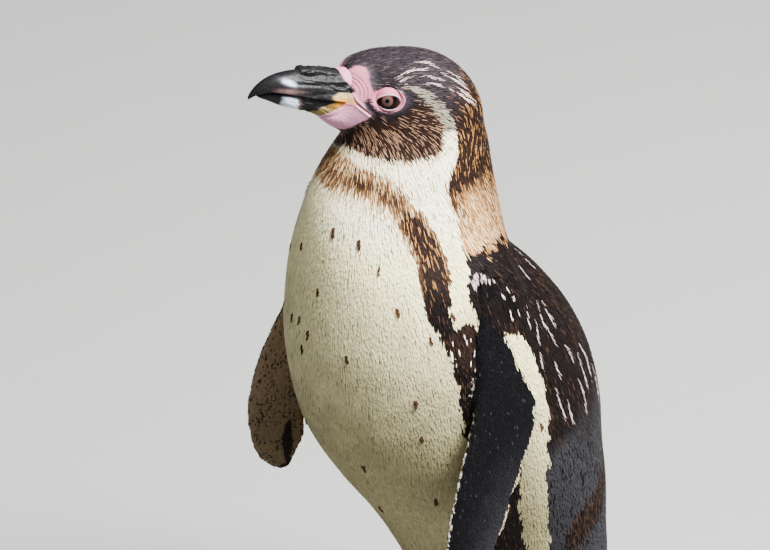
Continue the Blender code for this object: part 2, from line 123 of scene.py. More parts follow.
def middle(node):
    """The middle of a node's box."""
    low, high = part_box(node)
    return (np.array(low) + np.array(high)) / 2


AXES = head_axes()
SKULL = middle("eye_left") - EYE_PLACE @ AXES
SHIFT = SKULL - HEAD_CENTRE


def in_head(points):
    """Forward, left and up of the head's centre, in millimetres."""
    return (points - SKULL) @ AXES.T / MM


def from_head(places):
    """The points that lie at these places forward, left and up of the head's centre, in mm."""
    return SKULL + (np.asarray(places, float) * MM) @ AXES


def ease(low, high, values):
    """0 below low, 1 above high and smooth between; low may be the greater."""
    t = np.clip((values - low) / (high - low), 0, 1)
    return t * t * (3 - 2 * t)


def bell(values, width):
    """1 where the values are 0, falling off on both sides over about the width."""
    return np.exp(-((values / width) ** 2))


def spine_and_turn(height):
    """How far back the body's middle lies and how far the neck has turned, at heights over its own base."""
    return np.interp(height, *zip(*SPINE)), NECK_TURN * np.clip((height - NECK_FOOT) / NECK_RUN, 0, 1)


def in_body(points):
    """Degrees round the body from the breast, left positive and turned with the neck; height in mm."""
    place = points - SHIFT
    back, turn = spine_and_turn(place[:, 2])
    angle = np.degrees(np.arctan2(place[:, 0], back - place[:, 1])) + turn
    return (angle + 180) % 360 - 180, points[:, 2] / MM


def from_body(angle, height):
    """A ray that meets the body's side there: where it starts and which way it goes."""
    back, turn = spine_and_turn(height * MM - SHIFT[2])
    turn = math.radians(angle - turn)
    outward = np.array((math.sin(turn), -math.cos(turn), 0.0))
    core = np.array((SHIFT[0], SHIFT[1] + back, height * MM))
    return core + outward * 0.25, -outward


def flipper_root(side):
    """Where the flipper's line leaves the shoulder."""
    return SHOULDER * (side, 1, 1) + SHIFT


def flipper_frame(share, side):
    """Middle, span, chord towards the trailing edge, and outward direction at shares of the length."""
    share = np.asarray(share, float)[:, None]
    span = unit(REACH[side] + BEND[side] * 4 * (1 - 2 * share))
    chord = unit(np.array((0.0, 1.0, 0.0)) - span[:, 1:2] * span)
    outward = np.cross(span, chord) * side
    bow = FLIPPER_BOW * np.sin(math.pi * np.clip(share, 0, 1))
    bend = BEND[side] * 4 * share * (1 - share)
    return flipper_root(side) + REACH[side] * share + bend + outward * bow, span, chord, outward


def in_flipper(points, side):
    """Share along the flipper, share across from its leading edge, and mm out from its middle."""
    share = (points - flipper_root(side)) @ REACH[side] / (REACH[side] @ REACH[side])
    for _ in range(3):
        centre, span, _, _ = flipper_frame(share, side)
        share = share + ((points - centre) * span).sum(1) / np.linalg.norm(REACH[side])
    centre, span, chord, outward = flipper_frame(share, side)
    shares, ahead, behind = np.array(BLADE).T
    before, after = np.interp(share, shares, ahead), np.interp(share, shares, behind)
    across = (((points - centre) * chord).sum(1) + before) / (before + after)
    return share, across, ((points - centre) * outward).sum(1) / MM


# ---------------------------------------------------------------- noise and outlines


def grain(points, size, seed=0):
    """Smooth noise from -1 to 1, with blotches about `size` metres across."""
    p = np.asarray(points) / size + seed * 7.31
    cell = np.floor(p).astype(np.int64)
    f = p - cell
    f = f * f * (3 - 2 * f)
    total = np.zeros(len(p))
    for corner in range(8):
        step = np.array([(corner >> k) & 1 for k in range(3)])
        at = cell + step
        mixed = at[:, 0] * 73856093 ^ at[:, 1] * 19349663 ^ at[:, 2] * 83492791 ^ seed * 2654435
        mixed = (mixed ^ (mixed >> 13)) * 1274126177 & 0x7FFFFFFF
        total += (mixed / 0x3FFFFFFF - 1) * np.prod(np.where(step, f, 1 - f), axis=1)
    return total


def off_line(line, x, y):
    """Each place's distance from a line through these corners."""
    corners = np.array(line, float)
    gap = np.full(len(x), 1e9)
    for (x0, y0), (x1, y1) in zip(corners, corners[1:]):
        dx, dy = x1 - x0, y1 - y0
        share = np.clip(((x - x0) * dx + (y - y0) * dy) / (dx * dx + dy * dy), 0, 1)
        gap = np.minimum(gap, np.hypot(x - x0 - share * dx, y - y0 - share * dy))
    return gap


def within(outline, x, y):
    """How far inside a closed outline each place lies, negative outside it."""
    closed = np.array([*outline, outline[0]], float)
    odd = np.zeros(len(x), bool)
    for (x0, y0), (x1, y1) in zip(closed, closed[1:]):
        slope = (x1 - x0) / (y1 - y0) if y1 != y0 else 0.0
        odd ^= ((y0 > y) != (y1 > y)) & (x < x0 + (y - y0) * slope)
    gap = off_line(closed, x, y)
    return np.where(odd, gap, -gap)


def smooth(points, steps=4):
    """A smooth line through a few points."""
    line = np.array(points, float)
    line = np.vstack((2 * line[0] - line[1], line, 2 * line[-1] - line[-2]))
    t = (np.arange(steps) / steps)[:, None]
    spans = [
        b + 0.5 * t * (c - a + t * (2 * a - 5 * b + 4 * c - d + t * (3 * (b - c) + d - a)))
        for a, b, c, d in zip(line, line[1:], line[2:], line[3:])
    ]
    return [tuple(point) for point in np.vstack((*spans, line[-2:-1]))]


def arc(centre, half, start=0, end=360, steps=12):
    """Points round an ellipse, or along the part of it between two angles in degrees."""
    turns = np.radians(np.linspace(start, end, steps, endpoint=end - start < 360))
    return [(centre[0] + half[0] * math.cos(turn), centre[1] + half[1] * math.sin(turn)) for turn in turns]


# ---------------------------------------------------------------- markings
# Outlines on the head are (forward, up) in mm; those on the body are (degrees from the breast, height in mm).

EYE_RING = arc((28.8, 2.2), (9, 6.8), steps=24)
LORES = smooth(((50, 19), (43, 20), (39, 19), (38, 12), (36, 5), (41, 1))) + [(62, 1), (62, 19)]
JAW = smooth(((42, 3), (39, -4), (36, -7), (41, -12), (47, -17), (54, -19))) + [(66, -19), (66, 3)]
MASK = smooth((
    (22, 6), (16, 10), (6, 3), (-2, -5), (-5, -14), (-4, -25), (6, -30), (24, -33), (44, -30), (60, -28),
)) + [(60, -2), (40, 3)]
CROWN = smooth((
    (38, 8), (28, 7.5), (21, 5), (19, 12), (4, 8), (-8, -2), (-14, -14), (-17, -30), (-24, -35),
)) + [(-70, -35), (-70, 45), (66, 45), (66, 12)]
BAND_OUTER = (
    (-5, 426), (35, 423), (65, 411), (83, 392), (86, 366), (78, 342), (84, 312), (87, 250), (78, 195),
    (72, 140), (74, 70),
)
BAND_INNER = (
    (55, 70), (57, 140), (61, 220), (68, 295), (69, 330), (66, 372), (57, 400), (30, 409), (-5, 409),
)
BAND = smooth(BAND_OUTER) + smooth(BAND_INNER)
# The armpit's black: the axilla's own black feathers, spread as painted shade where the flipper meets the
# body
ARMPIT = arc((82, 322), (12, 15))
SHOULDER_WEAR = arc((100, 356), (4.5, 4.5), 30, 160, 6)
# Height and degrees, the other way round: where the white of the side ends and the dark back begins
MANTLE_EDGE = smooth((
    (60, 84), (180, 90), (250, 102), (312, 109), (332, 92), (352, 93), (384, 103), (412, 104), (430, 118),
    (470, 120),
))
SPOT_SEED = 12
BREAST_SPOTS = (
    (20, 388), (35, 385), (45, 370), (-8, 370), (10, 350), (55, 348), (65, 330), (25, 315), (-10, 322),
    (-3, 325), (4, 320), (0, 308), (50, 290), (48, 265), (20, 235), (45, 215), (10, 190), (80, 342),
    (100, 258),
)


def belly_spots(seed):
    """The flecks of the front and left side, and as many, placed differently, on the right."""
    rng = np.random.default_rng(seed)
    left = [spot for spot in BREAST_SPOTS if spot[0] > 15]
    right = [(-turn + rng.normal(0, 9), height + rng.normal(0, 10)) for turn, height in left]
    return [*BREAST_SPOTS, *right]


def crown_streaks(seed):
    """Thin pale broken lines that run back over the side of the crown and bend down behind it."""
    rng = np.random.default_rng(seed)
    lines = []
    for top in (14.5, 18, 21.5, 25):
        start = rng.uniform(10, 32) if top < 22 else rng.uniform(4, 18)
        while start > -22:
            places = start - rng.uniform(9, 22) * np.linspace(0, 1, 5)
            rise = top - 0.012 * (places - 8) ** 2 + rng.normal(0, 0.25, 5)
            lines.append(list(zip(places, rise)))
            start = places[-1] - rng.uniform(3, 12)
    return lines


def back_streaks(seed):
    """Broken pale lines down the back, in columns that lean towards the spine over the shoulder."""
    rng = np.random.default_rng(seed)
    lines = []
    for column in range(112, 178, 6):
        height = rng.uniform(322, 352)
        while height > 262:
            length = rng.uniform(7, 27)
            if rng.random() < (0.66 if column < 146 else 0.28):
                places = height - length * np.array((0, 0.5, 1))
                lean = 0.42 * np.maximum(places - 318, 0) + rng.normal(0, 0.8, 3)
                lines.append(list(zip(column + lean, places)))
            height -= length + rng.uniform(5, 20)
    return lines


def painter(tones, ground, edge=None, odd=None, stray=None, plain=None):
    """A function that lays tones over these arrays, each place by its share of the way in `where`.

    ground and edge are the feathers' colours, odd the share of odd feathers, which `plain` resets, and
    stray the colour of those.
    """
    def paint(where, base, rim=None, share=plain, other=None):
        where = np.clip(where, 0, 1)[:, None]
        ground[:] += (tones[base] - ground) * where
        if edge is not None:
            edge[:] += (tones[rim or base] - edge) * where
        if share is not None:
            odd[:] += (share - odd) * where[:, 0]
        if other:
            stray[:] += (tones[other] - stray) * where
    return paint


def markings(points, tones, spotted=False):
    """Each place's ground colour, its feather edges' colour, and the share and colour of odd feathers."""
    count = len(points)
    ahead, _, up = in_head(points).T
    angle, height = in_body(points)
    side = np.abs(angle)
    coarse, fine = grain(points, 0.009, 1), grain(points, 0.003, 2)
    rough = 1.3 * coarse + 0.9 * fine
    ground = np.tile(tones["belly"], (count, 1))
    edge = np.tile(tones["belly"] * 1.06, (count, 1))
    odd = np.zeros(count)
    stray = np.tile(tones["belly_low"], (count, 1))
    paint = painter(tones, ground, edge, odd, stray, plain=0.0)

    # Painted shade: the front of the belly darkens downwards, as under light from above; the same tone also
    # lays the lower belly's real olive stain.
    shade = ease(396, 225, height + 14 * coarse) * ease(130, 78, side)
    paint(0.92 * shade, "belly_low")
    paint(0.16 * ease(0.1, 0.7, grain(points * (1, 1, 0.4), 0.014, 5)) * ease(96, 78, side), "belly_low")
    paint(ease(372, 396, height) * ease(0, 30, side), "collar", "collar", 0.03, "nape")
    if spotted:
        turns, heights = np.array(belly_spots(SPOT_SEED)).T
        where = np.hypot((angle[:, None] - turns) * 1.25, (height[:, None] - heights) * 0.55).min(axis=1)
        paint(where < 1.2, "spot")

    edges, turns = np.array(MANTLE_EDGE).T
    past = side - np.interp(height, edges, turns) + 1.2 * rough
    behind = past > 0
    low = grain(points, 0.02, 8)
    nape_line = 374 - 0.2 * (side - 95) + 6 * fine
    paint(ease(-5, 0, past) * ease(372, 384, height) * (height < 432), "collar", "nape", 0.30, "nape")
    paint(behind, "nape", "nape", 0.34, "nape_pale")
    paint(behind * 0.35 * ease(0.1, 0.6, grain(points * (1, 1, 0.3), 0.006, 17)), "nape_pale")
    paint(behind * 0.45 * ease(0.2, 0.7, grain(points * (1, 1, 0.3), 0.008, 18)), "band_rim")
    paint(behind * 0.8 * ease(376, 364, height), "nape_edge", "nape", 0.3, "nape")
    paint(behind * 0.7 * ease(112, 146, side + 8 * coarse), "worn", "nape_edge", 0.35, "nape")
    front = behind * ease(15, 3, past + 3 * fine) * ease(378, 396, height)
    paint(front, "nape_edge", "nape", 0.30, "nape_pale")
    paint(behind * ease(392, 412, height + 5 * rough), "mask", "nape_edge", 0.12, "nape")
    mantle = behind & (height < nape_line)
    paint(mantle, "back", "back_edge", 0.05, "band_edge")
    frayed = mantle * ease(0.35, 0.8, grain(points * (1, 1, 0.35), 0.011, 15))
    paint(frayed, "back", "nape_edge", 0.10, "worn")
    paint(mantle * (np.hypot((side - 108) / 5, (height - 344) / 13) < 1), "back", "back", 0.04, "collar")
    # The lower back greys, partly in the feathers' own colour and partly as a painted sheen
    greying = ease(262, 226, height + 12 * low - 0.20 * (side - 130))
    paint(mantle * greying, "rump", "rump_edge", 0.10, "back")
    brown = np.hypot((height - 0.66 * (side - 100) - 156 + 7 * low) / 16, (side - 122) / 34)
    paint(mantle * ease(1.05, 0.55, brown + 0.25 * fine), "worn", "back_edge", 0.40, "back")
    near = within(BAND, side, height) + 1.1 * rough
    rimmed = (side < 72) & (height > 380)
    paint(ease(-7, 0, near) * rimmed, "collar", "nape", 0.34, "nape")
    paint(near > 0, "band_rim", "nape", 0.30, "nape_pale")
    core = ease(0.5, 6.0, near + 2.5 * coarse + 2 * ease(395, 380, height))
    core = core * (0.45 + 0.55 * ease(15, 38, side))
    paint((near > 0) * core, "band", "band_edge", 0.18, "nape")
    paint((near > 0) * ease(385, 345, height), "back", "back_edge", 0.08, "band_edge")
    # Black at the armpit, partly the axilla's feathers and partly painted shade between flipper and body
    paint(within(ARMPIT, side, height) + 1.5 * fine > 0, "back", "band_edge", 0.05, "collar")
    scuffed = off_line(SHOULDER_WEAR, side, height)
    paint(scuffed + 0.4 * fine < 1.2, "flipper_worn", "flipper_worn", 0.1, "rump")

    above = ease(396, 404, height)
    mask = within(MASK, ahead, up) + 1.1 * rough
    paint(ease(-4, 0, mask) * above * (up < -8), "collar", "nape", 0.25, "nape")
    paint((mask > 0) * above, "mask", "mask_edge", 0.24, "mask_streak")
    dark = ease(17, 4, np.hypot(ahead - 27, up * 1.3)) + ease(-8, 0, up + 0.28 * (ahead - 30)) * 0.8
    paint((mask > 0) * above * dark, "crown", "crown", 0.04, "mask_streak")
    crown = within(CROWN, ahead, up) + 0.6 * rough
    paint((crown > 0) * above, "crown", "crown_edge", 0.07, "crown_fleck")
    paint((crown > 0) * above * ease(2, -26, ahead + 0.5 * up), "mask", "nape_edge", 0.12, "nape")
    between = (mask < 0) & (crown < 0)
    paint(between * above * (up > -14) * (ahead < 30), "brow", "brow", 0.30, "crown")
    paint(between * above * (up > -8) * (ahead >= 30), "crown", "crown", 0.04, "mask_streak")
    return ground, edge, odd, stray


def forehead(ahead, left):
    """Half the breadth of the feathered wedge between the brows, in mm."""
    return np.minimum(13, 13 - 0.85 * (ahead - 37)) * np.where(left < 0, 0.6, 1)


def bare_face(points):
    """How far inside the naked skin of the face each place lies, in mm, negative outside it."""
    ahead, left, up = in_head(points).T
    up = up - 6.5 * ease(-1.0, -6, left) * ease(32, 38, ahead) * ease(12, 18, up)
    inside = np.max([within(outline, ahead, up) for outline in (EYE_RING, LORES, JAW)], axis=0)
    inside += 0.45 * grain(points, 0.0016, 77)
    wedge = np.abs(left) - forehead(ahead, left)
    inside = np.where(up > 10, np.minimum(inside, np.where(up > 12, wedge, inside)), inside)
    chin = np.abs(left) - np.interp(ahead, (44, 52, 60), (5, 1.5, -3))
    return np.where(up < -12, np.minimum(inside, chin), inside)


def flipper_markings(points, normals, side, tones):
    """As markings, for a flipper: dark outside with a white front edge and a painted sheen on its hind part,
    pale and spotted inside, with painted shade towards the tip.
    """
    share, across, _ = in_flipper(points, side)
    coarse, fine = grain(points, 0.006, 31), grain(points, 0.0022, 32)
    outer = (normals * flipper_frame(share, side)[3]).sum(1) + 0.12 * fine > 0
    inner = ~outer
    ground = np.where(outer[:, None], tones["flipper_out"], tones["flipper_in"])
    edge = ground * 1.2
    odd = np.where(outer, 0.012, 0.0)
    stray = np.where(outer[:, None], tones["flipper_sheen"], tones["flipper_spot"])
    paint = painter(tones, ground, edge, odd, stray)

    # Painted sheen: the outside greys towards its hind edge and its lower part
    paint(outer * ease(0.2, 1.0, across + 0.1 * coarse) * ease(0.4, 0.9, share), "flipper_sheen")
    white = np.interp(share, (0.0, 0.22, 0.36, 0.5, 0.75, 1.0), (0.0, 0.0, 0.01, 0.035, 0.055, 0.07))
    paint(outer * (across < white + 0.010 * fine) * (share > 0.24), "flipper_edge", None, 0.05, "worn")
    paint(outer * (across > 0.91 + 0.010 * fine) * (share > 0.40), "flipper_trail", None, 0.12, "spot")
    angle, height = in_body(points)
    patch = off_line(SHOULDER_WEAR, np.abs(angle), height)
    paint(outer * (patch + 0.4 * fine < 1.2), "flipper_worn", None, 0.1, "rump")
    paint(outer * ((patch > 1.6) & (share < 0.10)), "back", None, 0.05, "rump")

    # The inside browns towards its hind edge, and darkens towards the tip as painted shade
    deep = np.maximum(0.7 * ease(0.25, 0.95, across), 0.95 * ease(0.45, 0.85, share))
    paint(inner * deep, "flipper_in_deep")
    scattered = 0.05 + 0.20 * ease(-0.1, 0.5, grain(points, 0.010, 34)) * ease(0.04, 0.12, across)
    dashes = ease(1.15, 0.7, np.hypot((share - 0.46) / 0.17, (across - 0.78) / 0.34))
    odd[:] = np.where(inner, scattered + 0.55 * dashes, odd)
    root = np.hypot((share - 0.28) / 0.075, (across - 0.85) / 0.40) + 0.25 * coarse
    tip = np.hypot((share - 0.91) / 0.08, (across - 0.60 + 0.9 * (share - 0.9)) / 0.12) + 0.3 * coarse
    paint(inner * ease(1.1, 0.9, np.minimum(root, tip)), "flipper_spot")
    paint(inner * (across > 0.91 + 0.04 * fine) * (share > 0.42), "spot_edge", None, 0.45, "spot")
    paint(inner * (share > 0.975 + 0.01 * coarse), "flipper_spot")
    return ground, edge, odd, stray


def strands(along, across, seed):
    """Wavy lengthwise grooves, from 0 in a groove to 1 on the strand between. Both places are in mm."""
    flat = np.stack((along, across, np.zeros_like(along)), axis=1)
    warp = grain(flat * (0.14, 0.30, 1), 1.0, seed)
    broad = grain(flat * (0.075, 0.80, 1) + 0.55 * warp[:, None], 1.0, seed + 1)
    thin = grain(flat * (0.11, 1.6, 1) + 0.7 * warp[:, None], 1.0, seed + 2)
    return np.minimum(ease(0.02, 0.26, np.abs(broad)), 0.45 + 0.55 * ease(0.02, 0.3, np.abs(thin)))


# The fold at the gape, those over the lores, the opening between the lids, and the knob at the bill's base
GAPE_FOLD = smooth(((48, 4), (44, -1), (36, -7)))
LORE_FOLDS = [arc((50, 5), (radius, radius), 95, 195, 7) for radius in (7, 9, 11)]
OPENING = arc((27.6, 1.6), (6.3, 4.3), steps=10)
KNOB = (46.0, 6.7)


def horn_rim(up):
    """How far forward the bill's horn begins at each height on the face, in mm."""
    return np.interp(up, (-2, 4, 7, 12, 20), (44, 47, 45, 51, 54))


def past_horn(points):
    """How far past the bill's hind edge each place of the face lies towards the bill, in mm."""
    ahead, _, up = in_head(points).T
    return np.where(up > -2.2, ahead - horn_rim(up) + 0.25 * grain(points, 0.0013, 63), -5)


def face_relief(points):
    """Height of the folds of the naked face, in mm."""
    ahead, _, up = in_head(points).T
    fold = off_line(GAPE_FOLD, ahead, up)
    relief = -0.75 * bell(fold, 0.55) + 0.40 * bell(fold - 1.3, 0.7)
    for order, line in enumerate(LORE_FOLDS):
        relief -= (0.34 - 0.07 * order) * bell(off_line(line, ahead, up), 0.36)
    round_eye = np.abs(within(OPENING, ahead, up) + 3.4)
    relief -= 0.22 * bell(round_eye, 0.4)
    relief = relief + 0.05 * grain(points, 0.0009, 4)
    horn = past_horn(points)
    plates = strands(ahead, up - 0.15 * ahead, 51)
    horny = 0.25 - 0.45 * (1 - plates) * (up > 4.4)
    relief = np.where(horn > 0, horny, relief - 0.35 * bell(horn, 0.5))
    return relief + 0.5 * np.exp(-((np.hypot(ahead - KNOB[0], up - KNOB[1]) / 1.5) ** 4))


def face_colour(points, tones):
    """The naked face: rose round the eye and lores, paler on the jaw and by the bill, with painted shade in
    the folds and painted highlights beside the gape fold and on the knob.
    """
    ahead, _, up = in_head(points).T
    colour = np.tile(tones["face"], (len(points), 1))
    tint = painter(tones, colour)
    tint(0.75 * ease(44, 34, ahead) * ease(-6, 2, up), "face_deep")
    tint(0.5 * ease(0.0, 0.8, grain(points, 0.004, 3)), "face_deep")
    jaw = ease(0.4, 1.8, -up - 2.0 - 0.55 * (ahead - 44) * (ahead < 44)) * ease(34, 38, ahead)
    tint(0.9 * jaw, "jaw")
    tint(0.7 * (grain(points, 0.0011, 6) > 0.55) * jaw, "face_deep")
    fold = off_line(GAPE_FOLD, ahead, up)
    # Painted shade in the gape fold
    tint(0.8 * bell(fold, 0.5), "fold")
    # Painted highlight on the ridge beside the gape fold, on the jaw side
    tint(0.7 * bell(fold - 1.2, 0.5) * (up < 2), "lid")
    # Painted shade in the folds over the lores
    for line in LORE_FOLDS:
        tint(0.55 * bell(off_line(line, ahead, up), 0.4), "fold")
    tint(ease(-0.6, 0.4, within(OPENING, ahead, up)), "eye_corner")
    horn = ease(-0.15, 0.25, past_horn(points))
    cream = ease(-1.6, 1.0, past_horn(points)) * ease(5.2, 3.8, up) * ease(-2.2, -0.4, up)
    tint(cream, "horn_cream")
    tint(0.55 * cream * ease(2.6, 0.6, up + 0.5 * grain(points, 0.0013, 65)), "horn_orange")
    tint(horn * (up > 4.4), "horn")
    plates = strands(ahead, up - 0.15 * ahead, 51)
    # Worn streaks on the horn's strands, partly painted highlights
    tint(horn * (up > 4.4) * 0.5 * plates * (grain(points, 0.0015, 64) > 0), "horn_grey")
    # Painted highlight: the knob at the bill's base is paler
    tint(0.7 * ease(1.6, 0.9, np.hypot(ahead - KNOB[0], up - KNOB[1])), "horn_grey")
    return colour


# ---------------------------------------------------------------- making meshes


def copied(nodes):
    """The CAD nodes' own meshes in one bmesh, each merged into a closed shape."""
    bm = bmesh.new()
    for node in nodes:
        bm.from_mesh(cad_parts[node].data)
    bmesh.ops.remove_doubles(bm, verts=bm.verts, dist=0.00001)
    return bm


def object_from(name, bm, *materials):
    """An object with this shape, which is used up."""
    mesh = bpy.data.meshes.new(name)
    bm.to_mesh(mesh)
    bm.free()
    return placed(name, mesh, *materials)


def placed(name, mesh, *materials):
    """An object with this mesh, shaded smooth, in the scene."""
    mesh.shade_smooth()
    for finish in materials:
        mesh.materials.append(finish)
    obj = bpy.data.objects.new(name, mesh)
    bpy.context.scene.collection.objects.link(obj)
    return obj


def settle(obj):
    """Applies the object's modifiers to its mesh."""
    graph = bpy.context.evaluated_depsgraph_get()
    mesh = bpy.data.meshes.new_from_object(obj.evaluated_get(graph))
    obj.modifiers.clear()
    old = obj.data
    obj.data = mesh
    bpy.data.meshes.remove(old)
    mesh.name = obj.name


def read(items, field, width=1, kind=np.float32):
    """One field of every item, as rows of this width."""
    flat = np.empty(len(items) * width, kind)
    items.foreach_get(field, flat)
    return flat.reshape(-1, width) if width > 1 else flat


def places_of(mesh):
    return read(mesh.vertices, "co", 3).astype(float)


def normals_of(mesh):
    return read(mesh.vertex_normals, "vector", 3).astype(float)


def move_to(mesh, points):
    mesh.vertices.foreach_set("co", points.astype(np.float32).ravel())
    mesh.update()


def tint_vertices(mesh, name, colours):
    """Gives the mesh a colour at every point."""
    layer = mesh.color_attributes.new(name, "FLOAT_COLOR", "POINT")
    full = np.ones((len(colours), 4), np.float32)
    full[:, :3] = np.clip(colours, 0, 1)
    layer.data.foreach_set("color", full.ravel())


def store(mesh, name, values):
    """Gives the mesh a value at every point."""
    layer = mesh.attributes.new(name, "FLOAT", "POINT")
    layer.data.foreach_set("value", np.asarray(values, np.float32))


def stored(mesh, name):
    return read(mesh.attributes[name].data, "value").astype(float)


def smoothed(mesh, points, rounds, hold, back=0.0):
    """Moves every point towards its neighbours' mean, by its own share of the way in each round.

    back is the part of each step that is then taken back outwards, which keeps thin shapes from shrinking.
    """
    edges = read(mesh.edges, "vertices", 2, np.int32)
    count = np.bincount(edges.ravel(), minlength=len(points))[:, None]
    for _ in range(rounds):
        for share in (1.0, -back) if back else (1.0,):
            total = np.zeros_like(points)
            for here, there in (edges.T, edges.T[::-1]):
                for k in range(3):
                    total[:, k] += np.bincount(here, points[there, k], len(points))
            points = points + (total / count - points) * (hold * share)[:, None]
    return points


def sheet(rows, columns, place, closed=True):
    """A bmesh grid bent into shape: place(down, round) takes shares 0 to 1 and gives points."""
    bm = bmesh.new()
    bmesh.ops.create_grid(bm, x_segments=rows, y_segments=columns, size=1.0)
    flat = np.array([vert.co for vert in bm.verts])
    bent = place((flat[:, 0] + 1) / 2, (flat[:, 1] + 1) / 2)
    for vert, point in zip(bm.verts, bent):
        vert.co = point
    if closed:
        bmesh.ops.remove_doubles(bm, verts=bm.verts, dist=0.000002)
        bmesh.ops.recalc_face_normals(bm, faces=bm.faces)
    return bm


def curve_through(stations, shares):
    """Rows of the stations at shares 0 to 1 of the list, by a Catmull-Rom curve."""
    rows = np.array(stations, float)
    place = np.clip(shares, 0, 1) * (len(rows) - 1)
    at = np.minimum(place.astype(int), len(rows) - 2)
    t = (place - at)[:, None]
    a, b, c, d = (rows[np.clip(at + k, 0, len(rows) - 1)] for k in (-1, 0, 1, 2))
    curve = 2 * b + (c - a) * t + (2 * a - 5 * b + 4 * c - d) * t**2 + (3 * b - a - 3 * c + d) * t**3
    return curve / 2


# ---------------------------------------------------------------- skin

BODY_KIND, LEFT_KIND, RIGHT_KIND, LEG_KIND, FOOT_KIND = range(5)
# Each flipper's kind and the side it is on
FLIPPERS = ((LEFT_KIND, 1), (RIGHT_KIND, -1))
# How far below the skull's middle the face reaches, in metres
FACE_DEPTH = 0.025


def kinds_of(points):
    """Which kind of flesh each place belongs to, by the nearest CAD node."""
    bm, kinds = bmesh.new(), []
    for node in FLESH + FEET:
        bm.from_mesh(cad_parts[node].data)
        kind = BODY_KIND
        if node.startswith("flipper"):
            kind = LEFT_KIND if node.endswith("left") else RIGHT_KIND
        elif node.startswith(("leg", "foot")):
            kind = LEG_KIND if node.startswith("leg") else FOOT_KIND
        kinds += [kind] * (len(bm.faces) - len(kinds))
    tree = BVHTree.FromBMesh(bm)
    bm.free()
    return np.array([kinds[tree.find_nearest(point)[2]] for point in points])


def coat_depth(points, kinds, settings):
    """How thick the coat is over each place, in metres."""
    height = points[:, 2] - SHIFT[2]
    depth = settings.body_coat + (settings.head_coat - settings.body_coat) * ease(0.36, 0.445, height)
    depth = depth * ease(0.2, -4.5, bare_face(points) * (height > 0.41) - 9 * (height <= 0.41))
    for kind, side in FLIPPERS:
        share = in_flipper(points, side)[0]
        thin, thick = settings.flipper_coat, 0.6 * settings.body_coat
        depth = np.where(kinds == kind, thin + (thick - thin) * ease(0.16, 0.02, share), depth)
    depth = np.where(kinds == LEG_KIND, settings.flipper_coat + 0.0012 * ease(0.036, 0.08, height), depth)
    return np.where(kinds == FOOT_KIND, 0.0, depth)


def subdivide_face(mesh):
    """Finer faces round the bill and the eyes, where the folds are."""
    bm = bmesh.new()
    bm.from_mesh(mesh)
    for reach in (5.0, 2.0):
        middles = np.array([face.calc_center_median() for face in bm.faces])
        high = middles[:, 2] > SKULL[2] - FACE_DEPTH
        near = np.zeros(len(middles), bool)
        near[high] = bare_face(middles[high]) > -reach
        bm.faces.ensure_lookup_table()
        edges = {edge for index in np.flatnonzero(near) for edge in bm.faces[index].edges}
        edges = sorted(edges, key=lambda edge: edge.index)
        bmesh.ops.subdivide_edges(bm, edges=edges, cuts=1, use_grid_fill=True, smooth=0.6)
        bm.edges.index_update()
    bmesh.ops.triangulate(bm, faces=[face for face in bm.faces if len(face.verts) > 4])
    bm.to_mesh(mesh)
    bm.free()


# Soft lumps that round out the brow and the jaw: centre and half sizes, (forward, left, up) in mm
FACE_FLESH = (
    ((38, -2.5, 16.5), (12.5, 9.0, 9.5)), ((46, 0, -11), (7, 10.8, 7)), ((51, 0, -11), (7, 10.4, 6.4)),
    ((55, 0, -10.5), (6, 9, 4.5)), ((59, 0, -10), (5, 6.5, 2.5)),
)


